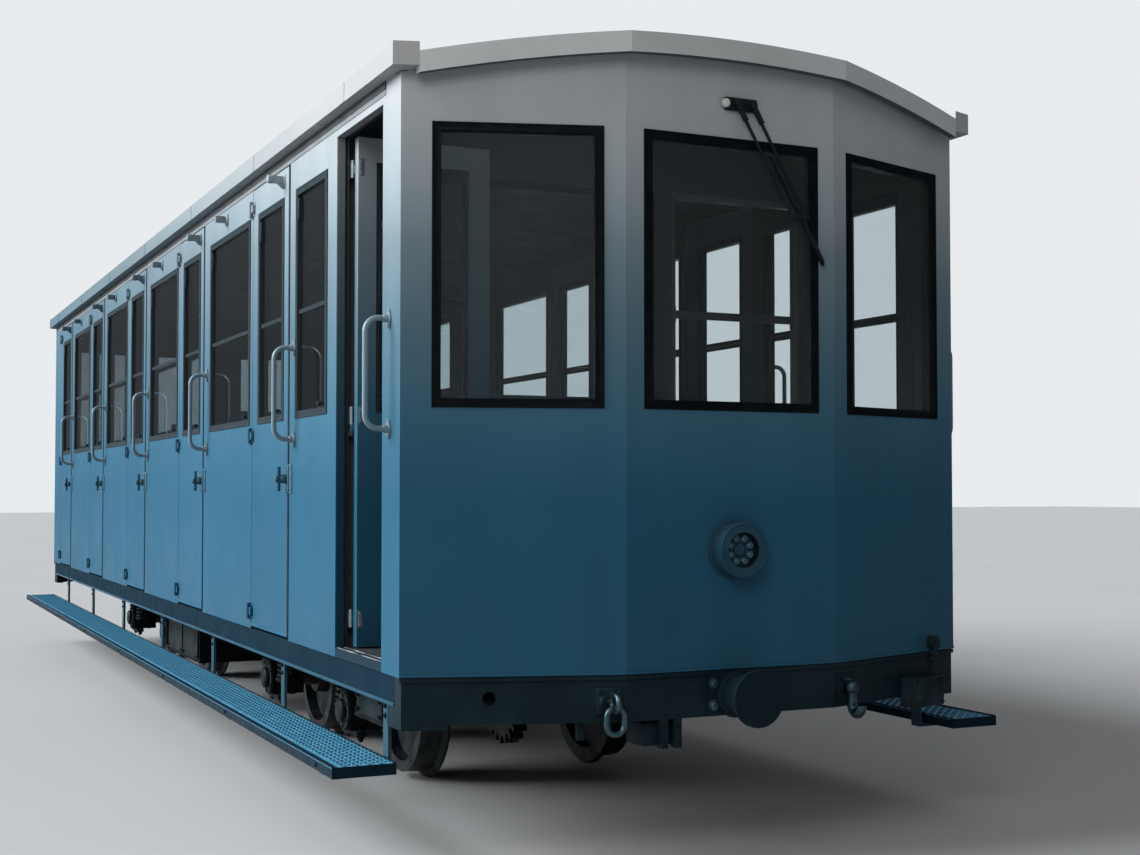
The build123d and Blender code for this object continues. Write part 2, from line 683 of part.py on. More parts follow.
CAB_LEAF = (52.0, 12.0)         # leaf's outer and inner faces from the pin, across
CAB_LEAF_RUN = (-515.0, -5.0)   # leaf's front and rear edges from the pin, along
CAB_LEAF_WINDOW = (-428.0, -75.0)
CAB_LEAF_STRAP = (-28.0, -1.0)


def cab_leaf_shut():
    """Cab door drawn shut about a pin at the origin, on the -X side."""
    height = (FLOOR_TOP + GAP, CAB_DOOR_TOP)
    leaf = block((-CAB_LEAF[0], -CAB_LEAF[1]), CAB_LEAF_RUN, height)
    leaf -= block((-CAB_LEAF[0] - 50, 50), CAB_LEAF_WINDOW, SIDE_WINDOW)
    for hinge in CAB_HINGE_HEIGHTS:
        span = (hinge - KNUCKLE / 2, hinge + KNUCKLE / 2)
        leaf += rod_z(CAB_KNUCKLE_RADIUS, span, 0, 0)
        leaf += block((-CAB_LEAF[1], 0), CAB_LEAF_STRAP, span)
    return leaf


def cab_pane_shut():
    """The cab door's pane, drawn shut about the pin."""
    outer = -CAB_LEAF[0] + PANE_INSET
    return block((outer, outer + PANE), CAB_LEAF_WINDOW, SIDE_WINDOW)


def hang_cab_door(shape, side, turn):
    """Put a shut cab door or pane on its pin and turn it inwards."""
    x, y = cab_hinge_place()
    return on_side(Pos(x, y, 0) * Rot(0, 0, turn) * shape, side)


# --- inside ------------------------------------------------------------------
BULKHEAD = (975.0, 1005.0)
BULKHEAD_DOOR_X = (318.0, 884.0)
BULKHEAD_DOOR_TOP = RAIL_TOP + 2395.0
BULKHEAD_WINDOW_X = (-950.0, 218.0)
BENCH_X = (-1045.0, 1045.0)
FIRST_BENCH_X = (-1045.0, 285.0)
REAR_BENCH_X = (-745.0, 745.0)
SEAT_TOP = FLOOR_TOP + 430.0
SEAT_DEPTH = 430.0
BACK_THICK = 60.0
BACK_TOP = RAIL_TOP + 1560.0
FIRST_BACK = BULKHEAD[1]
REAR_BACK = 9030.0


def bulkhead():
    """Partition behind the cab with a doorway and a wide window."""
    wall = block((-BODY_HALF + WALL, BODY_HALF - WALL), [along(edge) for edge in BULKHEAD],
                 (FLOOR_TOP, WALL_TOP)) & UNDER_ROOF
    through = (along(BULKHEAD[0] - 50), along(BULKHEAD[1] + 50))
    wall -= block(BULKHEAD_DOOR_X, through, (FLOOR_TOP - 10, BULKHEAD_DOOR_TOP))
    return wall - block(BULKHEAD_WINDOW_X, through, SIDE_WINDOW)


def bulkhead_pane():
    """Pane of the partition's window."""
    middle = (BULKHEAD[0] + BULKHEAD[1]) / 2
    return block(BULKHEAD_WINDOW_X, (along(middle - PANE / 2), along(middle + PANE / 2)), SIDE_WINDOW)


def bench_middles():
    """Distance back of each pair of benches, under the wide windows."""
    return [(doorway(bay)[1] + doorway(bay + 1)[0]) / 2 for bay in range(BAYS - 1)]


def bench_backs():
    """Columns: start, limits across the coach of each bench back."""
    rows = [(FIRST_BACK, FIRST_BENCH_X)]
    rows += [(middle - BACK_THICK / 2, BENCH_X) for middle in bench_middles()]
    return rows + [(REAR_BACK, REAR_BENCH_X)]


def bench_seats():
    """Columns: start, limits across the coach of each seat box."""
    rows = [(FIRST_BACK + BACK_THICK, FIRST_BENCH_X)]
    for middle in bench_middles():
        rows.append((middle - BACK_THICK / 2 - SEAT_DEPTH, BENCH_X))
        rows.append((middle + BACK_THICK / 2, BENCH_X))
    return rows + [(REAR_BACK - SEAT_DEPTH, REAR_BENCH_X)]


def bench_row(start, depth, x_span, top):
    """One seat box or back across the coach."""
    return block(x_span, (along(start), along(start + depth)), (FLOOR_TOP, top))


DESK_TOP = ((-760.0, -120.0), (240.0, 430.0), (FLOOR_TOP + 560.0, FLOOR_TOP + 690.0))
DESK_PEDESTAL = ((-720.0, -220.0), (280.0, 400.0), (FLOOR_TOP, FLOOR_TOP + 560.0))
EQUIPMENT_BOX = ((-1000.0, -800.0), (660.0, 980.0), (RAIL_TOP + 400.0, SOLE_BOTTOM))
BATTERY_BOX = ((-900.0, -420.0), (4200.0, 5060.0), (RAIL_TOP + 260.0, SOLE_BOTTOM))
RESERVOIR = (130.0, (4080.0, 5180.0), 560.0)    # radius, distances back, X


def box_back(x_span, distances, z_span):
    """A block between two distances back from the leading face."""
    return block(x_span, [along(distance) for distance in distances], z_span)


def cab_desk():
    """Control desk behind the leading windows."""
    return box_back(*DESK_TOP) + box_back(*DESK_PEDESTAL)


def underfloor_gear():
    """Equipment box below the cab, air reservoir and battery box."""
    radius, distances, x = RESERVOIR
    tank = rod_y(radius, [along(distance) for distance in distances], x, SOLE_BOTTOM - radius)
    return [box_back(*EQUIPMENT_BOX), tank, box_back(*BATTERY_BOX)]


# --- bogies ------------------------------------------------------------------
FRAME_X = (636.0, 660.0)
FRAME_Z = (RAIL_TOP + 350.0, RAIL_TOP + 460.0)
FRAME_REACH = 960.0
BOX_X = (590.0, 712.0)
BOX_HALF = 78.0
COVER = (86.0, 38.0)            # radius, thickness of the axlebox cover
HORN = 26.0
TRANSOMS = (-200.0, 200.0)
TRANSOM_HALF = 55.0
TRANSOM_Z = (FRAME_Z[0] + 10.0, FRAME_Z[1] - 20.0)
BOLSTER_HALF = 200.0
PIVOT_RADIUS = 110.0


def bogie_frame(centre):
    """Outside frame with axleboxes, horns, transoms and centre pivot."""
    middle = along(centre)
    frame = rod_z(PIVOT_RADIUS, (FRAME_Z[0], SOLE_BOTTOM - 1.0), 0, middle)
    frame += block((-BOLSTER_HALF, BOLSTER_HALF), (middle + TRANSOMS[0], middle + TRANSOMS[1]),
                   TRANSOM_Z)
    for offset in TRANSOMS:
        frame += block((-FRAME_X[0], FRAME_X[0]),
                       (middle + offset - TRANSOM_HALF, middle + offset + TRANSOM_HALF), TRANSOM_Z)
    for side in (-1, 1):
        plate = block((-FRAME_X[1], -FRAME_X[0]), (middle - FRAME_REACH, middle + FRAME_REACH), FRAME_Z)
        for axle in (-WHEELBASE / 2, WHEELBASE / 2):
            y = middle + axle
            plate += block((-BOX_X[1], -BOX_X[0]), (y - BOX_HALF, y + BOX_HALF),
                           (AXLE_HEIGHT - BOX_HALF, FRAME_Z[0] + 12))
            plate += rod_x(COVER[0], (-BOX_X[1] - COVER[1], -BOX_X[1]), y, AXLE_HEIGHT)
            for edge in (-1, 1):
                plate += block((-FRAME_X[1], -FRAME_X[0]),
                               sorted((y + edge * BOX_HALF, y + edge * (BOX_HALF + HORN))),
                               (AXLE_HEIGHT - BOX_HALF, FRAME_Z[0]))
            plate -= rod_x(JOURNAL_RADIUS + 0.1, (-JOURNAL_END - 1.0, -BOX_X[0] + 1), y, AXLE_HEIGHT)
        frame += on_side(plate, side)
    return frame


PINION_TOOTH = 34.0             # depth of a tooth
PINION_WIDTH = 25.0
PINION_PLACES = (-32.0, 7.0)    # X where each of the two rings starts
PINION_HUB = (95.0, 50.0)       # radius, half length
WHEEL_HUB = 95.0                # hub radius
WEB_HALF = 14.0                 # half thickness of a wheel's web
RIM = 50.0                      # depth of the rim below the tread
HUB_PROUD = 12.0                # hub beyond the rim's outer face


def pinion():
    """Toothed ring for the rack, about the X axis at the origin."""
    root = PINION_RADIUS - PINION_TOOTH
    step = 2 * math.pi / PINION_TEETH
    points = []
    for tooth in range(PINION_TEETH):
        # columns: share of the pitch, radius
        for share, radius in ((-0.30, root), (-0.14, PINION_RADIUS),
                              (0.14, PINION_RADIUS), (0.30, root)):
            angle = (tooth + share) * step
            points.append((radius * math.cos(angle), radius * math.sin(angle)))
    ring = extrude(make_face(Polyline(*points, close=True)), PINION_WIDTH)
    return Rot(0, 90, 0) * ring


def wheelset(place, with_pinion):
    """Axle with two flanged wheels, and the rack pinion where it has one."""
    web = (WHEEL_OUTER + WHEEL_INNER) / 2
    tread = TREAD_RADIUS
    # columns: x, radius of a wheel's half section from the axle outwards
    section = [(WHEEL_INNER - 8, 0), (WHEEL_INNER - 8, WHEEL_HUB - 10), (web - WEB_HALF, WHEEL_HUB),
               (web - WEB_HALF, tread - RIM - 5), (WHEEL_INNER, tread - RIM + 5),
               (WHEEL_INNER, FLANGE_RADIUS - 8), (WHEEL_INNER + 8, FLANGE_RADIUS),
               (WHEEL_INNER + 16, FLANGE_RADIUS), (WHEEL_INNER + FLANGE_WIDTH + 4, tread),
               (WHEEL_OUTER, tread - 4), (WHEEL_OUTER, tread - RIM),
               (web + WEB_HALF, tread - RIM - 8), (web + WEB_HALF, WHEEL_HUB - 3),
               (WHEEL_OUTER + HUB_PROUD, WHEEL_HUB - 13), (WHEEL_OUTER + HUB_PROUD, 0)]
    profile = make_face(Polyline(*[(x, radius, 0) for x, radius in section], close=True))
    wheel = revolve(profile, Axis.X)
    axle = rod_x(AXLE_RADIUS, (-BOX_X[0] + GAP, BOX_X[0] - GAP), 0, 0)
    axle += rod_x(JOURNAL_RADIUS, (-JOURNAL_END, JOURNAL_END), 0, 0)
    whole = axle + wheel + mirror_x(wheel)
    if with_pinion:
        for x in PINION_PLACES:
            whole += Pos(x, 0, 0) * pinion()
        whole += rod_x(PINION_HUB[0], (-PINION_HUB[1], PINION_HUB[1]), 0, 0)
    return Pos(0, along(place), AXLE_HEIGHT) * whole


# --- build -------------------------------------------------------------------
def main():
    os.makedirs("parts", exist_ok=True)

    front_wall = end_wall()
    save("end_wall_front", front_wall)
    save("end_wall_rear", mirror_y(front_wall))
    save("glass_ends", end_glass() + [mirror_y(pane) for pane in end_glass()])
    panels = side_panels()
    save("side_panels_left", panels)
    save("side_panels_right", [mirror_x(panel) for panel in panels])
    save("glass_sides", side_glass() + [mirror_x(pane) for pane in side_glass()])
    save("cant_rails", [cant_rail(), mirror_x(cant_rail())])
    save("roof", roof())
    save("cornices", [cornice(), mirror_y(cornice())])
    save("gutters", [gutter(), mirror_x(gutter())])

    save("floor", floor())
    save("headstocks", [headstock(), mirror_y(headstock())])
    save("sole_bars", [sole_bar(), mirror_x(sole_bar())])
    save("centre_sills", [centre_sill(side) for side in (-1, 1)])
    save("cross_members", cross_members())
    save("footboards", [footboard(), mirror_x(footboard())])
    save("footboard_hangers", [on_side(board_hanger(place), side)
                               for place in HANGERS for side in (-1, 1)])
    save("underfloor_gear", underfloor_gear())

    save("buffers", [buffer(), mirror_y(buffer())])
    gear = [draw_gear(side) for side in (-1, 1)]
    save("draw_gear", gear + [mirror_y(piece) for piece in gear])
    save("headlight", headlight())
    save("wiper", wiper())
    save("brake_cock", brake_cock())
    rails = [grab_rail(CAB_GRAB)] + [grab_rail(seam(bay) - GRAB_FROM_SEAM) for bay in range(BAYS)]
    save("grab_rails", rails + [mirror_x(rail) for rail in rails])

    save("bulkhead", bulkhead())
    save("bulkhead_glass", bulkhead_pane())
    save("bench_seats", [bench_row(start, SEAT_DEPTH, x_span, SEAT_TOP)
                         for start, x_span in bench_seats()])
    save("bench_backs", [bench_row(start, BACK_THICK, x_span, BACK_TOP)
                         for start, x_span in bench_backs()])
    save("cab_desk", cab_desk())

    # columns: name of the side, its sign, the cab door's turn at rest
    for name, side, turn in (("left", -1, 90.0), ("right", 1, 0.0)):
        for bay in range(BAYS):
            save(f"door_{name}_{bay + 1}", on_side(door_leaf(bay), side))
            save(f"door_{name}_{bay + 1}_glass", on_side(door_pane(bay), side))
        save(f"cab_door_{name}", hang_cab_door(cab_leaf_shut(), side, turn))
        save(f"cab_door_{name}_glass", hang_cab_door(cab_pane_shut(), side, turn))

    # columns: name of the bogie, its centre back from the leading face
    for name, centre in (("front", BOGIE_CENTRE), ("rear", BODY_LENGTH - BOGIE_CENTRE)):
        save(f"bogie_{name}", bogie_frame(centre))
        save(f"wheelset_{name}_1", wheelset(centre - WHEELBASE / 2, True))
        save(f"wheelset_{name}_2", wheelset(centre + WHEELBASE / 2, False))


if __name__ == "__main__":
    main()
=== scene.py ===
"""Rack-railway coach: finishes, fittings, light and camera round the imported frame.

Metres, in the frame of the part: +Y runs from the leading end to the rear, +Z is
up and -X is the side called left.
"""
import json
import math
from contextlib import contextmanager

import bpy
from mathutils import Matrix, Vector


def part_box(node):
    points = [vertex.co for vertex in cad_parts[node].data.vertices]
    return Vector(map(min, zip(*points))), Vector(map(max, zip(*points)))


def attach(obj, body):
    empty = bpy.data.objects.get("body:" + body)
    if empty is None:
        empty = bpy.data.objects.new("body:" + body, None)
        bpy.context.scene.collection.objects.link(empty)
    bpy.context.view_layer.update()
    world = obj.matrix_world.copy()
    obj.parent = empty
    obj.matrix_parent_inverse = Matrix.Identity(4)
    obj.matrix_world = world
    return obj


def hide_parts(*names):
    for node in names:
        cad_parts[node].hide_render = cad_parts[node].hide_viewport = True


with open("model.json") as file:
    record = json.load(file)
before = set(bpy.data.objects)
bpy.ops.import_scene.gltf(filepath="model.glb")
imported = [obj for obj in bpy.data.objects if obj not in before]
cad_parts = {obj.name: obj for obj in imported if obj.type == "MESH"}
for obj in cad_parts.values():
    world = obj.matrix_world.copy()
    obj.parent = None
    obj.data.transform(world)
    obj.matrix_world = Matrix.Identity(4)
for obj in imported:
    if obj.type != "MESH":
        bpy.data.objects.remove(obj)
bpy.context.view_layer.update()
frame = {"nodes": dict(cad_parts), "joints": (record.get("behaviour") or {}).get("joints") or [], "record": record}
NODES = frame["nodes"]

# --- sizes, in metres --------------------------------------------------------
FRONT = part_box("end_wall_front")[0].y       # leading face of the centre panel
REAR = -FRONT
BODY_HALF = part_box("end_wall_front")[1].x
WALL = 0.045                                # thickness of side and end walls
LEAF = 0.040                                # thickness of a door leaf
CENTRE_HALF = 0.407                         # half width of an end's centre panel
SETBACK = 0.229                             # an end's corners behind its centre panel
FACET_SLOPE = SETBACK / (BODY_HALF - CENTRE_HALF)
FACET_ANGLE = math.atan(FACET_SLOPE)
FACET_WINDOW_MIDDLE = 0.3505                # from the crease, along the side panel
FACET_WINDOW_WIDTH = 0.556
PANE_FACE = 0.008                           # a pane's outer face inside the wall's face

BAYS = 5
BAY_PITCH = 1.605
HINGES = {joint["name"]: Vector(joint["pos_m"]) for joint in frame["joints"]}
FIRST_HINGE = HINGES["door_left_1_hinge"].y
LEAF_RUN = 0.6125                           # from the hinge pin to the door's free edge
HINGE_HEIGHTS = (0.725, 1.480, 2.465)
CATCH_RUN = 0.510                           # from the hinge pin to stop arm and catch
SIDES = (("left", -1), ("right", 1))
ENDS = (("front", -1), ("rear", 1))
BODY_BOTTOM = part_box("side_panels_left")[0].z
SOLE_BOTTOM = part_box("sole_bars")[0].z
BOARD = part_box("footboards")
BOARD_INNER = -1.103                        # inner edge of the left running board
MID_RAIL = 1.930                            # height of the sash rail in side windows
SCREW = 0.0045                              # radius of a small screw's head


# --- modelling by hand -------------------------------------------------------
def only(piece):
    """Select one piece and nothing else."""
    bpy.ops.object.select_all(action="DESELECT")
    piece.select_set(True)
    bpy.context.view_layer.objects.active = piece


def settle(piece):
    """Put a piece's place, turn and size into its mesh."""
    only(piece)
    bpy.ops.object.transform_apply(location=True, rotation=True, scale=True)
    return piece


def named(name):
    """Name the piece that was just added and settle it."""
    piece = bpy.context.object
    piece.name = name
    piece.data.name = name
    return settle(piece)


def block(name, x_span, y_span, z_span):
    """A box between pairs of limits."""
    spans = (x_span, y_span, z_span)
    bpy.ops.object.select_all(action="DESELECT")
    bpy.ops.mesh.primitive_cube_add(size=1, location=[(a + b) / 2 for a, b in spans],
                                    scale=[abs(b - a) for a, b in spans])
    return named(name)


TURNED = {"x": (0, math.pi / 2, 0), "y": (math.pi / 2, 0, 0), "z": (0, 0, 0)}


def rod(name, radius, length, middle, axis="z", sides=24, tip=None):
    """A round bar, or a cone frustum when the tip's radius is given."""
    bpy.ops.object.select_all(action="DESELECT")
    if tip is None:
        bpy.ops.mesh.primitive_cylinder_add(vertices=sides, radius=radius, depth=length,
                                            location=middle, rotation=TURNED[axis])
    else:
        bpy.ops.mesh.primitive_cone_add(vertices=sides, radius1=radius, radius2=tip, depth=length,
                                        location=middle, rotation=TURNED[axis])
    return named(name)


@contextmanager
def editing(piece, faces=None, edges=None):
    """Edit mode on one piece, with the faces or edges selected that pass the test.

    A face's test gets its middle and normal, an edge's test its two ends.
    """
    only(piece)
    mesh = piece.data
    bpy.context.tool_settings.mesh_select_mode = (False, faces is None, faces is not None)
    for vertex in mesh.vertices:
        vertex.select = False
    for edge in mesh.edges:
        edge.select = False
    for face in mesh.polygons:
        face.select = bool(faces and faces(face.center, face.normal))
    if edges:
        for edge in mesh.edges:
            a, b = (mesh.vertices[index].co for index in edge.vertices)
            edge.select = bool(edges(a, b))
    bpy.ops.object.mode_set(mode="EDIT")
    yield piece
    bpy.ops.object.mode_set(mode="OBJECT")


def looking(axis, sign=0):
    """A test for faces that look along an axis, both ways unless a sign is given."""
    index = "xyz".index(axis)
    if sign:
        return lambda middle, normal: normal[index] * sign > 0.9
    return lambda middle, normal: abs(normal[index]) > 0.9


def step_face(piece, test, *steps):
    """Inset the faces that pass the test and shift them, by steps of (width, shift)."""
    with editing(piece, faces=test):
        for width, move in steps:
            bpy.ops.mesh.inset(thickness=width, depth=0)
            bpy.ops.transform.translate(value=move)


def hollow(piece, test, border):
    """Open a piece right through between two opposite faces, leaving a border."""
    with editing(piece, faces=test):
        bpy.ops.mesh.inset(thickness=border, depth=0)
        bpy.ops.mesh.bridge_edge_loops()


def scale_face(piece, test, value):
    """Scale the faces that pass the test about their middle."""
    with editing(piece, faces=test):
        bpy.ops.transform.resize(value=value)


def soften(piece, width, segments=2, angle=30.0):
    """Round a piece's sharp edges."""
    only(piece)
    rounding = piece.modifiers.new("rounding", "BEVEL")
    rounding.width = width
    rounding.segments = segments
    rounding.limit_method = "ANGLE"
    rounding.angle_limit = math.radians(angle)
    bpy.ops.object.modifier_apply(modifier="rounding")
    bpy.ops.object.shade_smooth_by_angle(angle=math.radians(35))
    return piece


def smooth(piece, angle=35.0):
    """Shade a piece smooth except over sharp edges."""
    only(piece)
    bpy.ops.object.shade_smooth_by_angle(angle=math.radians(angle))
    return piece


def join(name, pieces):
    """Join several pieces into one."""
    bpy.ops.object.select_all(action="DESELECT")
    for piece in pieces:
        piece.select_set(True)
    bpy.context.view_layer.objects.active = pieces[0]
    if len(pieces) > 1:
        bpy.ops.object.join()
    pieces[0].name = name
    pieces[0].data.name = name
    return pieces[0]


def spun(name, section, middle, turn, about, through, angle, steps):
    """A bar swept round an arc: a plane of (width, depth) spun about an axis."""
    bpy.ops.object.select_all(action="DESELECT")
    bpy.ops.mesh.primitive_plane_add(size=1, location=middle, rotation=turn)
    bpy.context.object.scale = (*section, 1)
    bar = named(name)
    with editing(bar, faces=lambda spot, normal: True):
        bpy.ops.mesh.spin(steps=steps, angle=angle, center=through, axis=about)
        bpy.ops.mesh.select_all(action="SELECT")
        bpy.ops.mesh.remove_doubles(threshold=0.00005)
        bpy.ops.mesh.normals_make_consistent(inside=False)
    return smooth(bar, 40)


def copy_to(piece, name, place):
    """A copy with a mesh of its own, moved by a matrix."""
    twin = piece.copy()
    twin.data = piece.data.copy()
    twin.name = name
    twin.data.name = name
    twin.data.transform(place)
    if place.determinant() < 0:
        twin.data.flip_normals()
    bpy.context.scene.collection.objects.link(twin)
    return twin


def moved(piece, place):
    """The same piece, moved by a matrix."""
    piece.data.transform(place)
    if place.determinant() < 0:
        piece.data.flip_normals()
    return piece


def discard(piece):
    """Remove a pattern piece that was only copied from."""
    bpy.data.objects.remove(piece)


def shift(x=0.0, y=0.0, z=0.0):
    """A matrix that moves."""
    return Matrix.Translation((x, y, z))


def on_wall(angle, x, y, z):
    """Where a piece drawn facing -Y about the origin goes: turned about Z, then moved."""
    return shift(x, y, z) @ Matrix.Rotation(angle, 4, "Z")


FACING = {-1: -math.pi / 2, 1: math.pi / 2}
ACROSS = Matrix.Scale(-1, 4, (1, 0, 0))


def on_facet(end, side, run, z, out=0.0):
    """Where a piece goes on an end's side panel: run from the crease, out from its face."""
    x = CENTRE_HALF + run * math.cos(FACET_ANGLE) + out * math.sin(FACET_ANGLE)
    y = FRONT + run * math.sin(FACET_ANGLE) - out * math.cos(FACET_ANGLE)
    place = on_wall(side * FACET_ANGLE, side * x, y, z)
    return place if end < 0 else Matrix.Rotation(math.pi, 4, "Z") @ on_wall(
        -side * FACET_ANGLE, -side * x, y, z)


def on_centre(end, x, z, out=0.0):
    """Where a piece goes on an end's centre panel."""
    angle = 0.0 if end < 0 else math.pi
    return on_wall(angle, x, end * (REAR + out), z)


def islands(node):
    """Boxes of a CAD node's separate solids, as (lowest, highest) corners."""
    mesh = NODES[node].data
    keys = [tuple(round(c, 5) for c in vertex.co) for vertex in mesh.vertices]
    parent = {key: key for key in keys}

    def root(key):
        """The vertex that stands for a solid."""
        while parent[key] != key:
            parent[key] = parent[parent[key]]
            key = parent[key]
        return key

    for face in mesh.polygons:
        first = root(keys[face.vertices[0]])
        for index in face.vertices[1:]:
            parent[root(keys[index])] = first
    groups = {}
    for key in parent:
        groups.setdefault(root(key), []).append(key)
    return [(Vector(map(min, *points)), Vector(map(max, *points))) for points in groups.values()]


# --- finishes ----------------------------------------------------------------
class Finish:
    """A material being made: its Principled shader and the nodes that feed it."""

    def __init__(self, name, colour, roughness=0.5, metal=0.0, sheen=0.2):
        """Start a plain material."""
        self.material = bpy.data.materials.new(name)
        self.material.use_nodes = True
        self.tree = self.material.node_tree
        self.shader = self.tree.nodes["Principled BSDF"]
        self.shader.inputs["Base Color"].default_value = (*colour, 1.0)
        self.shader.inputs["Roughness"].default_value = roughness
        self.shader.inputs["Metallic"].default_value = metal
        self.shader.inputs["Specular IOR Level"].default_value = sheen
        self.where = self.node("ShaderNodeTexCoord").outputs["Object"]

    def node(self, kind, **settings):
        """A new shader node with its settings."""
        made = self.tree.nodes.new(kind)
        for key, value in settings.items():
            setattr(made, key, value)
        return made

    def feed(self, socket, value):
        """Link an output, or set a plain value."""
        if isinstance(value, bpy.types.NodeSocket):
            self.tree.links.new(value, socket)
        elif isinstance(value, (tuple, list)) and len(value) == 3 and socket.type == "RGBA":
            socket.default_value = (*value, 1.0)
        else:
            socket.default_value = value

    def sum(self, operation, a, b=0.0, c=0.0, clamp=False):
        """The result of a Math node."""
        made = self.node("ShaderNodeMath", operation=operation, use_clamp=clamp)
        for socket, value in zip(made.inputs, (a, b, c)):
            self.feed(socket, value)
        return made.outputs[0]

    def axes(self, where=None):
        """X, Y and Z of a vector, the piece's own place by default."""
        made = self.node("ShaderNodeSeparateXYZ")
        self.feed(made.inputs[0], where or self.where)
        return made.outputs

    def noise(self, scale, detail=3.0, stretch=(1.0, 1.0, 1.0), turn=(0.0, 0.0, 0.0)):
        """Clouds of noise; stretch above 1 makes it finer along that axis."""
        mapping = self.node("ShaderNodeMapping")
        self.feed(mapping.inputs["Vector"], self.where)
        mapping.inputs["Scale"].default_value = stretch
        mapping.inputs["Rotation"].default_value = turn
        made = self.node("ShaderNodeTexNoise")
        self.feed(made.inputs["Vector"], mapping.outputs[0])
        made.inputs["Scale"].default_value = scale
        made.inputs["Detail"].default_value = detail
        return made.outputs["Fac"]

    def span(self, value, low, high, to_low=0.0, to_high=1.0, smooth_step=False):
        """Map a range of a value to another, clamped."""
        kind = "SMOOTHSTEP" if smooth_step else "LINEAR"
        made = self.node("ShaderNodeMapRange", interpolation_type=kind)
        for socket, given in zip(made.inputs, (value, low, high, to_low, to_high)):
            self.feed(socket, given)
        return made.outputs[0]

    def ramp(self, value, stops):
        """Colours at stops of (place, colour)."""
        made = self.node("ShaderNodeValToRGB")
        self.feed(made.inputs[0], value)
        elements = made.color_ramp.elements
        while len(elements) < len(stops):
            elements.new(1.0)
        for element, (place, colour) in zip(elements, stops):
            element.position = place
            element.color = (*colour, 1.0)
        return made.outputs[0]

    def mix(self, share, a, b, blend="MIX"):
        """Two colours mixed or blended."""
        made = self.node("ShaderNodeMix", data_type="RGBA", blend_type=blend)
        self.feed(made.inputs[0], share)
        self.feed(made.inputs[6], a)
        self.feed(made.inputs[7], b)
        return made.outputs[2]

    def colour(self, value):
        """Feed the base colour."""
        self.feed(self.shader.inputs["Base Color"], value)
        return self

    def rough(self, value):
        """Feed the roughness."""
        self.feed(self.shader.inputs["Roughness"], value)
        return self

    def bump(self, height, distance, strength=1.0):
        """Add a bump below those already there."""
        made = self.node("ShaderNodeBump")
        made.inputs["Strength"].default_value = strength
        made.inputs["Distance"].default_value = distance
        self.feed(made.inputs["Height"], height)
        socket = self.shader.inputs["Normal"]
        if socket.links:
            self.tree.links.new(socket.links[0].from_socket, made.inputs["Normal"])
        self.tree.links.new(made.outputs[0], socket)
        return self


# paint tones from the panels' foot to the roof: (height in metres, colour)
PAINT_FADE = (
    (1.20, (0.0145, 0.0650, 0.1110)),
    (1.37, (0.0220, 0.0755, 0.1225)),
    (1.50, (0.0305, 0.0866, 0.1307)),
    (1.77, (0.0600, 0.1106, 0.1471)),
    (2.05, (0.1150, 0.1550, 0.1800)),
    (2.15, (0.1540, 0.1970, 0.2240)),
    (2.30, (0.2050, 0.2380, 0.2580)),
    (2.50, (0.2560, 0.2770, 0.2910)),
)
FADE_FROM = 1.10
FADE_TO = 2.60
FADE_LEVEL = 1.25               # height at which the fade stays level along the coach
FADE_FALL = 0.157               # how much lower the fade lies with each metre back


def fade_colour(finish):
    """The paint's tone at each height; the pale part narrows towards the rear."""
    _, y, z = finish.axes()
    back = finish.sum("MAXIMUM", finish.sum("SUBTRACT", y, FRONT + SETBACK), 0.0)
    narrowing = finish.sum("MULTIPLY_ADD", back, FADE_FALL, 1.0)
    level = finish.sum("ADD", finish.sum("DIVIDE", finish.sum("SUBTRACT", z, FADE_LEVEL), narrowing),
                       FADE_LEVEL)
    height = finish.span(level, FADE_FROM, FADE_TO)
    stops = [((z - FADE_FROM) / (FADE_TO - FADE_FROM), colour) for z, colour in PAINT_FADE]
    return finish.ramp(height, stops)


def inside_mask(finish, skin=WALL - 0.002):
    """1 on what lies deeper than skin behind the body's outer faces."""
    x, y, _ = finish.axes()
    across = finish.sum("ABSOLUTE", x)
    lengthwise = finish.sum("ABSOLUTE", y)
    setback = finish.sum("MULTIPLY", finish.sum("MAXIMUM", finish.sum("SUBTRACT", across, CENTRE_HALF)),
                         FACET_SLOPE)
    depth = finish.sum("SUBTRACT", finish.sum("SUBTRACT", REAR, lengthwise), setback)
    behind_end = finish.sum("GREATER_THAN", depth, skin)
    behind_side = finish.sum("LESS_THAN", across, BODY_HALF - skin)
    return finish.sum("MULTIPLY", behind_end, behind_side)


LINING = (0.040, 0.048, 0.053)


def body_paint(name="body_paint", lined_and_shaded=True):
    """Satin body paint with rain streaks and dusty feet; reveals and jambs get painted shade, and walls have a
    plain lining inside.
    """
    made = Finish(name, (0.05, 0.15, 0.25), 0.40, sheen=0.035)
    tone = fade_colour(made)
    clouds = made.span(made.noise(1.3, 4.0), 0.3, 0.7, 0.93, 1.06)
    streaks = made.span(made.noise(7.0, 4.0, (1.0, 1.0, 0.06)), 0.35, 0.75, 1.03, 0.95)
    shade = made.sum("MULTIPLY", clouds, streaks)
    tone = made.mix(1.0, tone, shade, "MULTIPLY")
    dust = made.sum("MULTIPLY", made.span(made.axes()[2], 0.95, BODY_BOTTOM, 0.0, 0.55),
                    made.span(made.noise(5.0, 5.0, (1, 1, 0.5)), 0.35, 0.75))
    tone = made.mix(dust, tone, (0.022, 0.058, 0.088))
    if lined_and_shaded:
        # painted shade: faces more than 4 mm behind the outer faces, in the reveals and jambs, are darkened
        reveal_shade = made.sum("MULTIPLY", inside_mask(made, 0.004), 0.60)
        tone = made.mix(reveal_shade, tone, (0.30, 0.26, 0.24), "MULTIPLY")
        tone = made.mix(inside_mask(made), tone, LINING)
    made.colour(tone)
    made.rough(made.span(made.noise(3.0, 4.0), 0.3, 0.7, 0.34, 0.48))
    made.bump(made.noise(2.2, 1.0), 0.004, 0.35)
    made.bump(made.noise(420.0, 1.0), 0.0002, 0.25)
    return made.material


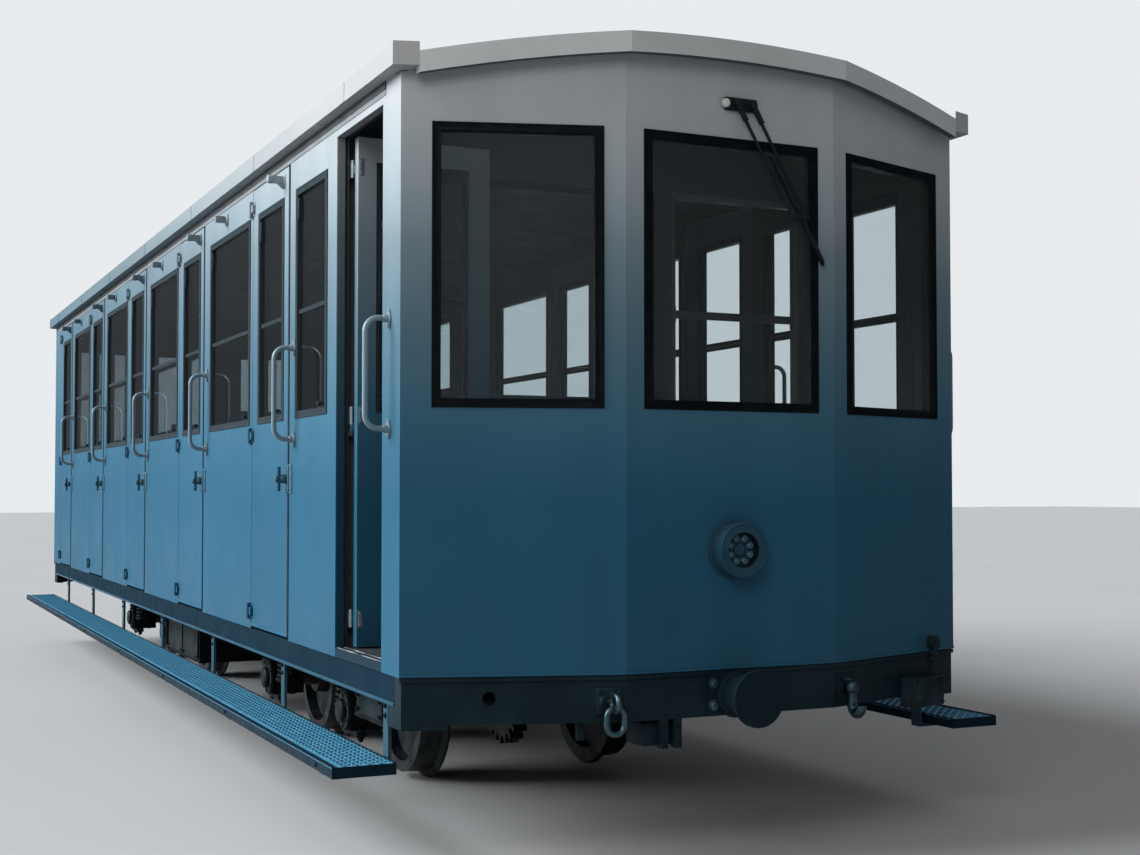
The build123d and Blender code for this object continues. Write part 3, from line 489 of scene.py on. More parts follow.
def roof_paint():
    """Matt grey roof paint with weathered blotches; the underside is dark with painted shade."""
    made = Finish("roof_paint", (0.30, 0.31, 0.32), 0.55)
    normal = made.node("ShaderNodeNewGeometry").outputs["Normal"]
    facing = made.axes(normal)[2]
    underside_shade = made.sum("LESS_THAN", facing, -0.5)
    blotch = made.span(made.noise(2.0, 5.0, (1, 0.3, 1)), 0.3, 0.7, 0.88, 1.06)
    tone = made.mix(1.0, (0.33, 0.345, 0.355), blotch, "MULTIPLY")
    # painted shade: faces that look downwards take a dark grey
    made.colour(made.mix(underside_shade, tone, (0.052, 0.060, 0.064)))
    made.rough(made.span(made.noise(6.0, 4.0), 0.3, 0.7, 0.45, 0.65))
    made.bump(made.noise(160.0, 2.0), 0.0004, 0.3)
    return made.material


def gutter_paint():
    """The gutters' paint: the panels' pale top tone, weathered."""
    made = Finish("gutter_paint", (0.25, 0.26, 0.27), 0.5, sheen=0.02)
    blotch = made.span(made.noise(3.0, 5.0, (1, 0.4, 1)), 0.3, 0.7, 0.94, 1.04)
    tone = made.mix(1.0, fade_colour(made), (1.0, 0.96, 0.93), "MULTIPLY")
    made.colour(made.mix(1.0, tone, blotch, "MULTIPLY"))
    made.rough(made.span(made.noise(6.0, 4.0), 0.3, 0.7, 0.42, 0.60))
    return made.material


def grimy_paint(name, clean, grime, roughness=0.5, scale=7.0, flake=0.0, sheen=0.04):
    """Dark paint with grime in clouds and a few worn flecks."""
    made = Finish(name, clean, roughness, sheen=sheen)
    cloud = made.span(made.noise(scale, 6.0), 0.38, 0.68)
    tone = made.mix(cloud, clean, grime)
    if flake:
        fleck = made.span(made.noise(scale * 14.0, 3.0), 0.70, 0.76, 0.0, flake)
        tone = made.mix(fleck, tone, (0.19, 0.17, 0.155))
    made.colour(tone)
    made.rough(made.span(made.noise(scale * 2.0, 4.0), 0.3, 0.7, roughness - 0.12, roughness + 0.15))
    made.bump(made.noise(190.0, 3.0), 0.0005, 0.35)
    return made.material


def rail_paint():
    """Glossy paint of the grab rails, a little paler than the panel behind them."""
    made = Finish("rail_paint", (0.10, 0.16, 0.20), 0.30, sheen=0.25)
    tone = made.mix(0.45, fade_colour(made), (0.190, 0.250, 0.280))
    worn = made.span(made.noise(12.0, 5.0), 0.45, 0.75, 0.0, 0.35)
    made.colour(made.mix(worn, tone, (0.120, 0.165, 0.190)))
    made.rough(made.span(made.noise(10.0, 4.0), 0.3, 0.7, 0.24, 0.38))
    return made.material


def tread_paint():
    """Running board paint: blue on top, clouded by wear; the sides and underside are darkened as painted shade."""
    made = Finish("tread_plate", (0.040, 0.140, 0.220), 0.42, sheen=0.03)
    cloud = made.span(made.noise(11.0, 6.0), 0.38, 0.68)
    top = made.mix(cloud, (0.0370, 0.1350, 0.2150), (0.0500, 0.1600, 0.2450))
    # painted shade: below the top face the board takes a much darker tone than on top
    side = made.mix(cloud, (0.0040, 0.0115, 0.0185), (0.0055, 0.0150, 0.0230))
    upper = made.sum("GREATER_THAN", made.axes()[2], BOARD[1].z - 0.003)
    made.colour(made.mix(upper, side, top))
    made.rough(made.span(made.noise(22.0, 4.0), 0.3, 0.7, 0.35, 0.55))
    made.bump(made.noise(190.0, 3.0), 0.0005, 0.35)
    return made.material


def metal(name, colour, roughness, scratch=(40.0, 40.0, 2.0), dirt=(0.05, 0.05, 0.05), soiled=0.35):
    """Metal with fine drawn scratches and dull handling marks."""
    made = Finish(name, colour, roughness, 1.0)
    marks = made.span(made.noise(12.0, 5.0), 0.45, 0.75, 0.0, soiled)
    made.colour(made.mix(marks, colour, dirt))
    made.rough(made.span(made.noise(10.0, 4.0), 0.3, 0.7, roughness * 0.7, roughness * 1.4))
    made.bump(made.noise(9.0, 3.0, scratch), 0.0002, 0.3)
    return made.material


def rubber(name, colour=(0.012, 0.014, 0.016), roughness=0.6, worn=0.35, sheen=0.10):
    """Black rubber or sealing strip."""
    made = Finish(name, colour, roughness, sheen=sheen)
    bloom = made.span(made.noise(18.0, 5.0), 0.45, 0.75, 0.0, worn)
    made.colour(made.mix(bloom, colour, (0.022, 0.030, 0.035)))
    made.rough(made.span(made.noise(25.0, 3.0), 0.3, 0.7, roughness - 0.12, roughness + 0.12))
    made.bump(made.noise(350.0, 2.0), 0.0003, 0.4)
    return made.material


def window_glass(name, tint, shaded=None):
    """Safety glass with smears and a film of dust; the left-hand panes can take a darker shaded tint as painted
    shade.
    """
    made = Finish(name, tint, 0.0, sheen=0.5)
    made.shader.inputs["Transmission Weight"].default_value = 0.988
    made.shader.inputs["Specular Tint"].default_value = (0.72, 0.88, 1.0, 1.0)
    made.shader.inputs["IOR"].default_value = 1.27
    if shaded:
        # painted shade: panes at negative x take the darker shaded tint
        made.colour(made.mix(made.sum("LESS_THAN", made.axes()[0], 0.0), tint, shaded))
    made.rough(made.span(made.noise(14.0, 4.0, (1, 1, 0.4)), 0.55, 0.85, 0.0, 0.035))
    return made.material


def slatted_wood():
    """Varnished slats, grain along the bench."""
    made = Finish("bench_wood", (0.16, 0.085, 0.04), 0.4)
    grain = made.noise(14.0, 6.0, (0.4, 6.0, 6.0))
    made.colour(made.ramp(grain, [(0.30, (0.085, 0.042, 0.020)), (0.55, (0.17, 0.090, 0.043)),
                                  (0.80, (0.24, 0.14, 0.070))]))
    made.rough(made.span(grain, 0.3, 0.7, 0.30, 0.50))
    made.bump(grain, 0.0008, 0.35)
    return made.material


def floor_covering():
    """Dark ribbed rubber sheet, with painted sills along the floor's edges."""
    made = Finish("floor_covering", (0.025, 0.028, 0.030), 0.6, sheen=0.05)
    speck = made.span(made.noise(240.0, 2.0), 0.6, 0.68)
    worn = made.span(made.noise(2.5, 5.0), 0.4, 0.7)
    tone = made.mix(worn, (0.018, 0.021, 0.023), (0.034, 0.038, 0.040))
    tone = made.mix(speck, tone, (0.055, 0.060, 0.064))
    edge = made.sum("GREATER_THAN", made.sum("ABSOLUTE", made.axes()[0]), BODY_HALF - WALL - 0.010)
    made.colour(made.mix(edge, tone, (0.0060, 0.0180, 0.0280)))
    ribs = made.node("ShaderNodeTexWave", bands_direction="X")
    made.feed(ribs.inputs["Vector"], made.where)
    ribs.inputs["Scale"].default_value = 12.0
    made.bump(ribs.outputs["Fac"], 0.0015, 0.5)
    return made.material


def lining_panel():
    """Grey laminate lining."""
    made = Finish("lining_panel", LINING, 0.35)
    speck = made.span(made.noise(300.0, 2.0), 0.45, 0.62)
    made.colour(made.mix(speck, LINING, (0.055, 0.063, 0.068)))
    made.rough(made.span(made.noise(6.0, 3.0), 0.3, 0.7, 0.3, 0.45))
    return made.material


def ground_paint():
    """Plain pale studio floor."""
    made = Finish("studio_floor", (0.285, 0.29, 0.295), 0.8)
    made.colour(made.mix(made.span(made.noise(0.6, 2.0), 0.3, 0.7), (0.28, 0.285, 0.29),
                         (0.29, 0.295, 0.30)))
    return made.material


PAINT = body_paint()
CAB_DOOR_PAINT = body_paint("cab_door_paint", lined_and_shaded=False)
ROOF = roof_paint()
GUTTER = gutter_paint()
FRAME_PAINT = grimy_paint("frame_paint", (0.0050, 0.0120, 0.0165), (0.0085, 0.0180, 0.0240), 0.42)
SOLE_PAINT = grimy_paint("sole_bar_paint", (0.0040, 0.0135, 0.0225), (0.0055, 0.0165, 0.0265),
                         0.55, sheen=0.008)
# grime and painted shade: the underframe's and bogies' paints are kept nearly black for the shade under the coach,
# with grime in clouds
UNDERFRAME_GRIME_AND_SHADE = grimy_paint("underframe_grime_and_shade", (0.0022, 0.0040, 0.0050), (0.0060, 0.0090, 0.0105),
                          0.6, 9.0, 0.10)
BOGIE_PAINT = grimy_paint("bogie_paint", (0.0025, 0.0045, 0.0055), (0.0075, 0.0105, 0.0120), 0.55, 12.0, 0.20)
# dirt and painted shade: the wheels' steel is kept far darker than bare steel, with dark marks over most of it, to
# look shaded under the coach
SHADED_WHEEL_STEEL = metal("wheel_steel", (0.040, 0.046, 0.050), 0.45, dirt=(0.006, 0.007, 0.008), soiled=0.9)
FORGED = metal("forged_steel", (0.055, 0.095, 0.115), 0.42, dirt=(0.012, 0.022, 0.028), soiled=0.7)
BRIGHT = rail_paint()
TREAD = tread_paint()
LAMP_METAL = grimy_paint("lamp_body_paint", (0.0110, 0.0400, 0.0660), (0.0190, 0.0520, 0.0800), 0.35)
BLACK = rubber("black_fittings", (0.0060, 0.0085, 0.0100))
SEAL = rubber("window_frame_black", (0.0022, 0.0036, 0.0046), 0.45, 0.12, 0.03)
GLASS = window_glass("window_glass", (0.78, 0.84, 0.86))
# painted shade: the left-hand side panes get the darker second tint
SIDE_GLASS = window_glass("side_window_glass", (0.80, 0.86, 0.88), (0.24, 0.30, 0.33))
WOOD = slatted_wood()
FLOORING = floor_covering()
PANEL = lining_panel()
SOLE_EDGE = grimy_paint("sole_bar_edge", (0.0190, 0.0560, 0.0860), (0.0140, 0.0440, 0.0700), 0.45)
# painted shade: the dark tone of the running boards' shaded sides, also on their edge beads and end caps
BOARD_SHADED_SIDE = grimy_paint("board_shaded_side", (0.0040, 0.0115, 0.0185), (0.0055, 0.0150, 0.0230),
                         0.5, 11.0, sheen=0.008)
HANDLE_METAL = grimy_paint("handle_paint", (0.0300, 0.0750, 0.1050), (0.0420, 0.0920, 0.1250), 0.38)
EDGE_RUBBER = rubber("door_edge_rubber", (0.0040, 0.0090, 0.0120), 0.6)
SIDE_FRAME = rubber("side_window_frame", (0.0150, 0.0235, 0.0285), 0.45, 0.25, 0.05)
BOLT_METAL = metal("bolt_metal", (0.16, 0.26, 0.32), 0.38, dirt=(0.03, 0.055, 0.07), soiled=0.7)
STRIP_METAL = metal("strip_metal", (0.42, 0.47, 0.50), 0.35, dirt=(0.10, 0.13, 0.15), soiled=0.6)
TRIM = grimy_paint("partition_trim", (0.085, 0.100, 0.108), (0.105, 0.120, 0.130), 0.4)
HINGE_METAL = metal("hinge_metal", (0.26, 0.31, 0.34), 0.40, dirt=(0.08, 0.11, 0.13), soiled=0.6)
BOX_COVER = grimy_paint("axlebox_cover_paint", (0.0040, 0.0080, 0.0100), (0.0150, 0.0210, 0.0240),
                        0.45, 14.0, 0.25)
SPRING_STEEL = grimy_paint("spring_steel", (0.0060, 0.0090, 0.0105), (0.0180, 0.0230, 0.0250),
                           0.42, 16.0, 0.2)
LID_PAINT = grimy_paint("equipment_lid_paint", (0.0045, 0.0085, 0.0105), (0.0120, 0.0170, 0.0195),
                        0.5, 9.0, 0.2)
HANGER_PAINT = grimy_paint("hanger_paint", (0.0200, 0.0480, 0.0680), (0.0260, 0.0560, 0.0760),
                           0.45, sheen=0.02)
# painted shadow: dark grey of the strip that stands for the gutters' shadow on the wall
GUTTER_SHADOW_PAINT = grimy_paint("gutter_shadow_strip_paint", (0.055, 0.060, 0.062), (0.080, 0.086, 0.090), 0.55)
# painted half-shade: grey of the strip below it, at the shadow's soft edge
GUTTER_HALF_SHADE_PAINT = grimy_paint("gutter_half_shade_paint", (0.150, 0.165, 0.175), (0.185, 0.200, 0.210), 0.5)
COCK_METAL = grimy_paint("cock_metal", (0.0050, 0.0110, 0.0150), (0.0140, 0.0260, 0.0330), 0.35, 16.0, 0.2)
BUFFER_PAINT = grimy_paint("buffer_paint", (0.0045, 0.0110, 0.0155), (0.0080, 0.0170, 0.0230), 0.4)
CLUSTER = grimy_paint("lamp_cluster", (0.0330, 0.0780, 0.1080), (0.0430, 0.0920, 0.1220), 0.30)
PALE_CAP = grimy_paint("pale_cap", (0.55, 0.56, 0.56), (0.40, 0.41, 0.41), 0.4)


def lens_glass():
    """Lightly frosted lens with a blue-grey cast."""
    made = Finish("lamp_lens", (0.10, 0.19, 0.25), 0.30)
    made.shader.inputs["Transmission Weight"].default_value = 0.4
    made.rough(made.span(made.noise(300.0, 2.0), 0.3, 0.7, 0.26, 0.38))
    return made.material


LENS = lens_glass()


def lamp_bowl():
    """Frosted white lamp bowl."""
    made = Finish("ceiling_lamp_bowl", (0.70, 0.71, 0.70), 0.35, sheen=0.5)
    made.colour(made.mix(made.span(made.noise(30.0, 3.0), 0.4, 0.7), (0.72, 0.73, 0.72), (0.60, 0.61, 0.60)))
    return made.material


LAMP_BOWL = lamp_bowl()


def dress(material, piece):
    """Give a piece one material."""
    piece.data.materials.clear()
    piece.data.materials.append(material)
    return piece


FINISH_OF = {
    "body_paint": PAINT, "roof_paint": ROOF, "frame_paint": FRAME_PAINT, "tread_plate": TREAD,
    "floor_board": FLOORING, "running_gear": BOGIE_PAINT, "wheel_steel": SHADED_WHEEL_STEEL,
    "bare_steel": FORGED, "bright_rail": BRIGHT, "lamp_ring": LAMP_METAL, "black_fittings": BLACK,
    "interior_panel": PANEL, "seat_cover": WOOD, "bench_wood": WOOD, "glass": GLASS,
}
OWN_FINISH = {
    "sole_bars": SOLE_PAINT, "centre_sills": UNDERFRAME_GRIME_AND_SHADE, "cross_members": UNDERFRAME_GRIME_AND_SHADE,
    "underfloor_gear": UNDERFRAME_GRIME_AND_SHADE, "glass_sides": SIDE_GLASS, "cab_door_left": CAB_DOOR_PAINT,
    "gutters": GUTTER, "footboard_hangers": HANGER_PAINT,
}


def dress_nodes():
    """Give every CAD node the finish of its slot, or its own."""
    for row in frame["record"]["subparts"]:
        material = OWN_FINISH.get(row["node"], FINISH_OF[row["material_slot"]])
        if row["node"].startswith("door") and material is GLASS:
            material = SIDE_GLASS
        dress(material, NODES[row["node"]])


def fit(piece, body, slot, material=None):
    """Finish a new piece: its material, taken from its slot unless given, and the body it moves with."""
    dress(material or FINISH_OF[slot], piece)
    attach(piece, body)
    return piece


# --- windows -----------------------------------------------------------------
FRAME_LAP = 0.0015              # the frame's outer edge past the opening's
FRAME_PROUD = 0.004             # the frame's front past the wall's face
FRAME_BORDER = 0.027


def ring_of(name, width, height, border, y_span):
    """A flat rectangular ring facing -Y: a block, both faces inset and bridged."""
    ring = block(name, (-width / 2, width / 2), y_span, (-height / 2, height / 2))
    hollow(ring, looking("y"), border)
    return ring


def window_frame(name, width, height, wall, border=FRAME_BORDER, band=0.007):
    """Black frame with a sunk centre band and rounded front edges."""
    made = ring_of(name, width + 2 * FRAME_LAP, height + 2 * FRAME_LAP, border + FRAME_LAP,
                   (-FRAME_PROUD, wall + 0.002))
    step_face(made, looking("y", -1), (band, (0, 0.0025, 0)))
    return soften(made, 0.0015, 2)


def window_sash(name, width, height, middle_z):
    """Drop sash behind the pane's face: lower leaf frame, twin rail and stops."""
    inner_width = width - 2 * FRAME_BORDER + 0.004
    inner_height = height - 2 * FRAME_BORDER + 0.004
    rail = MID_RAIL - middle_z
    bottom = -inner_height / 2
    y_span = (0.0145, 0.030)
    leaf_height = rail - bottom
    leaf = ring_of(name, inner_width, leaf_height, 0.017, y_span)
    leaf = soften(moved(leaf, shift(z=bottom + leaf_height / 2)), 0.0015, 1)
    upper = soften(block("rail", (-inner_width / 2, inner_width / 2), (0.004, 0.020),
                         (rail + 0.003, rail + 0.021)), 0.0015, 1)
    stiles = [soften(block("stile", sorted((side * inner_width / 2, side * (inner_width / 2 - 0.012))),
                           (0.0145, 0.026), (rail, inner_height / 2)), 0.0015, 1) for side in (-1, 1)]
    return join(name, [leaf, upper, *stiles])


def window_latch(name, width, height):
    """Finger latch at the foot of the drop sash and its stop bar at the head."""
    inner = width / 2 - FRAME_BORDER
    stop = soften(block("stop", (-inner + 0.002, -inner + 0.016), (-0.003, 0.010),
                        (height / 2 - 0.125, height / 2 - 0.040)), 0.002, 2)
    knob = soften(rod("knob", 0.009, 0.020, (inner - 0.055, -0.004, -height / 2 + 0.040), "y", 16), 0.002)
    lug = soften(block("lug", (inner - 0.080, inner - 0.032), (-0.002, 0.010),
                       (-height / 2 + 0.028, -height / 2 + 0.036)), 0.0015)
    return join(name, [stop, knob, lug])


def glaze(window, name, place, body, sash=True):
    """Put copies of a window's frame, sash and latch in one opening."""
    for part, piece in window.items():
        if part == "frame" or sash:
            fit(copy_to(piece, f"{name}_{part}", place), body, "black_fittings", SIDE_FRAME)


def window_parts(width, height, middle_z, wall):
    """Patterns of a side window's frame, sash and latch."""
    return {"frame": window_frame("frame", width, height, wall),
            "sash": window_sash("sash", width, height, middle_z),
            "latch": window_latch("latch", width, height)}


def cab_window_parts(width, height, middle_z):
    """Patterns of a cab door's window: narrow frame with a deep top rail, and a cross rail."""
    frame_ring = window_frame("frame", width, height, LEAF, 0.009, 0.0025)
    head = soften(block("head", (-width / 2, width / 2), (0.004, LEAF), (height / 2 - 0.050, height / 2)),
                  0.0015, 1)
    rail = soften(block("rail", (-width / 2, width / 2), (0.006, 0.032),
                        (MID_RAIL - middle_z - 0.016, MID_RAIL - middle_z + 0.016)), 0.002, 2)
    knob = soften(rod("knob", 0.009, 0.020, (width / 2 - 0.055, -0.002, -height / 2 + 0.030), "y", 16), 0.002)
    return {"frame": join("frame", [frame_ring, head]), "sash": rail, "latch": knob}


def side_windows():
    """Frames and sashes of fixed side windows, compartment doors and cab doors."""
    sizes = {}
    for low, high in islands("glass_sides"):
        sizes.setdefault(round(high.y - low.y, 3), []).append((low, high))
    for width, group in sizes.items():
        low, high = group[0]
        height, middle_z = high.z - low.z, (low.z + high.z) / 2
        pattern = window_parts(width, height, middle_z, WALL)
        kind = "quarter" if width < 0.6 else "wide"
        for name, side in SIDES:
            row = sorted((p for p in group if p[0].x * side > 0), key=lambda p: p[0].y)
            for number, (low, high) in enumerate(row, 1):
                place = on_wall(FACING[side], side * BODY_HALF, (low.y + high.y) / 2, middle_z)
                glaze(pattern, f"{kind}_window_{name}_{number}", place, "car")
        for piece in pattern.values():
            discard(piece)
    low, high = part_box("door_left_1_glass")
    pattern = window_parts(high.y - low.y, high.z - low.z, (low.z + high.z) / 2, LEAF)
    for name, side in SIDES:
        for bay in range(1, BAYS + 1):
            low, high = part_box(f"door_{name}_{bay}_glass")
            place = on_wall(FACING[side], side * BODY_HALF, (low.y + high.y) / 2, (low.z + high.z) / 2)
            glaze(pattern, f"door_{name}_{bay}_window", place, f"door_{name}_{bay}")
    for piece in pattern.values():
        discard(piece)
    low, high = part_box("cab_door_right_glass")
    pattern = cab_window_parts(high.y - low.y, high.z - low.z, (low.z + high.z) / 2)
    place = on_wall(FACING[1], BODY_HALF - 0.005, (low.y + high.y) / 2, (low.z + high.z) / 2)
    glaze(pattern, "cab_door_right_window", place, "cab_door_right")
    low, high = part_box("cab_door_left_glass")
    place = on_wall(0.0, (low.x + high.x) / 2, low.y - PANE_FACE, (low.z + high.z) / 2)
    glaze(pattern, "cab_door_left_window", place, "cab_door_left")
    for piece in pattern.values():
        discard(piece)


def end_windows():
    """Frames of the three windows of each end."""
    panes = islands("glass_ends")
    low, high = min(panes, key=lambda box: box[1].z - box[0].z + abs(box[0].x + box[1].x))
    height, middle_z = high.z - low.z, (low.z + high.z) / 2
    centre = window_frame("frame", high.x - low.x, height, WALL, 0.030)
    facet = window_frame("frame", FACET_WINDOW_WIDTH, height, WALL, 0.028)
    for end_name, end in ENDS:
        fit(copy_to(centre, f"end_window_{end_name}_centre", on_centre(end, 0, middle_z)),
            "car", "black_fittings", SEAL)
        for side_name, side in SIDES:
            place = on_facet(end, side, FACET_WINDOW_MIDDLE, middle_z)
            fit(copy_to(facet, f"end_window_{end_name}_{side_name}", place), "car",
                "black_fittings", SEAL)
    discard(centre)
    discard(facet)


def bulkhead_window():
    """Frame on both faces of the partition's window."""
    low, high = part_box("bulkhead_glass")
    wall_low, wall_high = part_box("bulkhead")
    middle = ((low.x + high.x) / 2, wall_low.y, (low.z + high.z) / 2)
    made = window_frame("bulkhead_window_frame", high.x - low.x, high.z - low.z,
                        wall_high.y - wall_low.y + 0.002, 0.022)
    fit(moved(made, shift(*middle)), "car", "black_fittings", SEAL)


PARTITION_DOOR = (0.318, 0.884, 2.420)      # doorway's sides and top
CROSS_BAR = (1.938, 1.970)


def partition_doorway():
    """Trim round the partition's doorway and the flat cross bar over it."""
    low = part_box("bulkhead")[0]
    left, right, top = PARTITION_DOOR
    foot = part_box("floor")[1].z
    front, rear = low.y - 0.004, low.y + 0.002
    pieces = [block("trim", (left - 0.020, right + 0.020), (front, rear), (top, top + 0.024))]
    for x_span in ((left - 0.014, left), (right, right + 0.014)):
        pieces.append(block("trim", x_span, (front, rear), (foot + 0.001, top)))
    trim = join("partition_trim", [soften(piece, 0.0015, 2) for piece in pieces])
    fit(trim, "car", "interior_panel", TRIM)
    bar = soften(block("bar", (left + 0.0005, right - 0.0005), (low.y + 0.004, low.y + 0.022), CROSS_BAR),
                 0.004, 3)
    ends = []
    for x_span in ((left + 0.0005, left + 0.005), (right - 0.005, right - 0.0005)):
        flange = block("flange", x_span, (low.y + 0.001, low.y + 0.026),
                       (CROSS_BAR[0] - 0.014, CROSS_BAR[1] + 0.014))
        ends.append(soften(flange, 0.0015, 2))
    fit(join("partition_bar", [bar, *ends]), "car", "interior_panel")


# --- small parts that many fittings share ------------------------------------
def screw(name, middle, axis="x", radius=SCREW, height=0.003):
    """A domed screw head."""
    made = rod(name, radius, height, middle, axis, 12)
    return soften(made, height * 0.4, 2)


def bolt(name, middle, axis="y", size=0.009, height=0.008):
    """Hexagon head on a washer, its axis through the middle of the washer."""
    index = "xyz".index(axis)
    washer = rod("washer", size * 1.45, height * 0.3, middle, axis, 20)
    head_middle = list(middle)
    outwards = -1 if middle[index] < 0 else 1
    head_middle[index] += outwards * height * 0.6
    head = soften(rod("head", size, height, head_middle, axis, 6), height * 0.12, 1)
    return join(name, [head, washer])


def facing_bolt(name, x, z, size=0.009, height=0.008):
    """Hexagon bolt drawn on a wall that faces -Y."""
    washer = rod("washer", size * 1.45, height * 0.3, (x, -height * 0.1, z), "y", 20)
    head = soften(rod("head", size, height, (x, -height * 0.6, z), "y", 6), height * 0.12, 1)
    return join(name, [head, washer])


def along_doors(pattern, part, slot, material=None):
    """Copies of a pattern drawn on the first left door, on every compartment door."""
    for name, side in SIDES:
        for bay in range(BAYS):
            place = shift(y=BAY_PITCH * bay)
            body = f"door_{name}_{bay + 1}"
            fit(copy_to(pattern, f"{body}_{part}", ACROSS @ place if side > 0 else place),
                body, slot, material)
    discard(pattern)


def along_walls(pattern, part, slot, material=None, bays=range(BAYS)):
    """Copies of a pattern drawn by the first left door, on the wall by every door."""
    for name, side in SIDES:
        copies = []
        for bay in bays:
            place = shift(y=BAY_PITCH * bay)
            copies.append(copy_to(pattern, part, ACROSS @ place if side > 0 else place))
        fit(join(f"{part}_{name}", copies), "car", slot, material)
    discard(pattern)


def both_sides(pattern, name, slot, material=None, body="car"):
    """A left-hand piece and its mirror image on the right."""
    fit(copy_to(pattern, f"{name}_right", ACROSS), body, slot, material)
    pattern.name = f"{name}_left"
    pattern.data.name = pattern.name
    fit(pattern, body, slot, material)


# --- door fittings -----------------------------------------------------------
HANDLE_Z = 1.290
HANDLE_Y = FIRST_HINGE - LEAF_RUN + 0.026
HANDLE_OUT = 0.034
STEM_REACH = 0.048


def door_handle():
    """T-handle: backplate with two screws, collar, bar and the knob on its stem."""
    x = -BODY_HALF
    plate = soften(block("plate", (x - 0.005, x + 0.001), (HANDLE_Y - 0.019, HANDLE_Y + 0.019),
                         (HANDLE_Z - 0.056, HANDLE_Z + 0.056)), 0.0035, 3)
    collar = rod("collar", 0.018, 0.018, (x - 0.013, HANDLE_Y, HANDLE_Z), "x", 24)
    step_face(collar, looking("x", -1), (0.004, (-0.006, 0, 0)))
    collar = soften(collar, 0.0015, 2)
    bar = rod("bar", 0.0085, 0.098, (x - HANDLE_OUT, HANDLE_Y, HANDLE_Z), "z", 20)
    scale_face(bar, looking("z"), (0.75, 0.75, 1))
    bar = soften(bar, 0.003, 2)
    knob = soften(rod("knob", 0.0125, 0.012, (x - STEM_REACH + 0.004, HANDLE_Y, HANDLE_Z), "x", 20),
                  0.004, 3)
    screws = [screw("screw", (x - 0.006, HANDLE_Y, HANDLE_Z + dz), "x") for dz in (-0.044, 0.044)]
    return join("handle", [plate, collar, bar, knob, *screws])


def lock_keeper():
    """Keeper plate on the wall in front of a door's lock, with a rolled lip."""
    x, edge = -BODY_HALF, FIRST_HINGE - LEAF_RUN - 0.006
    plate = soften(block("plate", (x - 0.004, x + 0.001), (edge - 0.046, edge),
                         (HANDLE_Z - 0.058, HANDLE_Z + 0.058)), 0.002, 2)
    lip = soften(rod("lip", 0.006, 0.104, (x - 0.004, edge - 0.008, HANDLE_Z), "z", 14), 0.002, 1)
    screws = [screw("screw", (x - 0.005, edge - 0.034, HANDLE_Z + dz), "x", 0.004)
              for dz in (-0.044, 0.0, 0.044)]
    return join("keeper", [plate, lip, *screws])


HINGE_HALF = 0.031              # half the height of a hinge
LEAF_WIDTH = 0.030


def hinge_leaf(side):
    """Three hinge leaves with screws, on the door (side -1) or on the wall (side 1)."""
    x, y = -BODY_HALF, FIRST_HINGE
    near, far = sorted((y + side * 0.004, y + side * LEAF_WIDTH))
    pieces = []
    for z in HINGE_HEIGHTS:
        leaf = block("leaf", (x - 0.0035, x + 0.001), (near, far), (z - HINGE_HALF, z + HINGE_HALF))
        pieces.append(soften(leaf, 0.0015, 2))
        pieces += [screw("screw", (x - 0.0042, y + side * LEAF_WIDTH * 0.68, z + dz), "x", 0.0042)
                   for dz in (-0.021, 0.021)]
    return join("hinge_leaf", pieces)


STRIP_WIDTH = 0.017


def edge_strip():
    """Rubber strip over the gap along a door's free edge, broken at the lock."""
    x, edge = -BODY_HALF, FIRST_HINGE - LEAF_RUN
    low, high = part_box("door_left_1")
    pieces = []
    for z_span in ((low.z + 0.004, HANDLE_Z - 0.060), (HANDLE_Z + 0.060, high.z - 0.002)):
        strip = block("strip", (x - 0.0035, x + 0.001), (edge - 0.0045, edge - 0.0045 + STRIP_WIDTH), z_span)
        step_face(strip, looking("x", -1), (0.004, (0.0015, 0, 0)))
        pieces.append(soften(strip, 0.0008, 1))
    return join("edge_strip", pieces)


ARM_Z = (2.487, 2.517)


def stop_arm():
    """Door stop: base plate with four screws and a brace below the arm."""
    x, y = -BODY_HALF, FIRST_HINGE - CATCH_RUN
    middle = sum(ARM_Z) / 2
    plate = soften(block("plate", (x - 0.004, x + 0.001), (y - 0.026, y + 0.026),
                         (ARM_Z[0] - 0.010, ARM_Z[1] + 0.004)), 0.0015, 2)
    brace = block("brace", (x - 0.030, x), (y - 0.0035, y + 0.0035), (ARM_Z[0] - 0.020, ARM_Z[0] + 0.001))
    with editing(brace, edges=lambda a, b: max(a.x, b.x) < x - 0.02 and max(a.z, b.z) < ARM_Z[0] - 0.01):
        bpy.ops.transform.translate(value=(0.022, 0, 0))
    screws = [screw("screw", (x - 0.005, y + dy, middle + dz), "x", 0.004)
              for dy in (-0.018, 0.018) for dz in (-0.010, 0.010)]
    return join("arm", [plate, brace, *screws])


def stop_shoe():
    """Round stop over the arm's end."""
    x, y = -BODY_HALF, FIRST_HINGE - CATCH_RUN
    shoe = rod("shoe", 0.0175, 0.020, (x - 0.057, y, sum(ARM_Z) / 2), "x", 20)
    step_face(shoe, looking("x", -1), (0.004, (-0.002, 0, 0)))
    return soften(shoe, 0.003, 2)


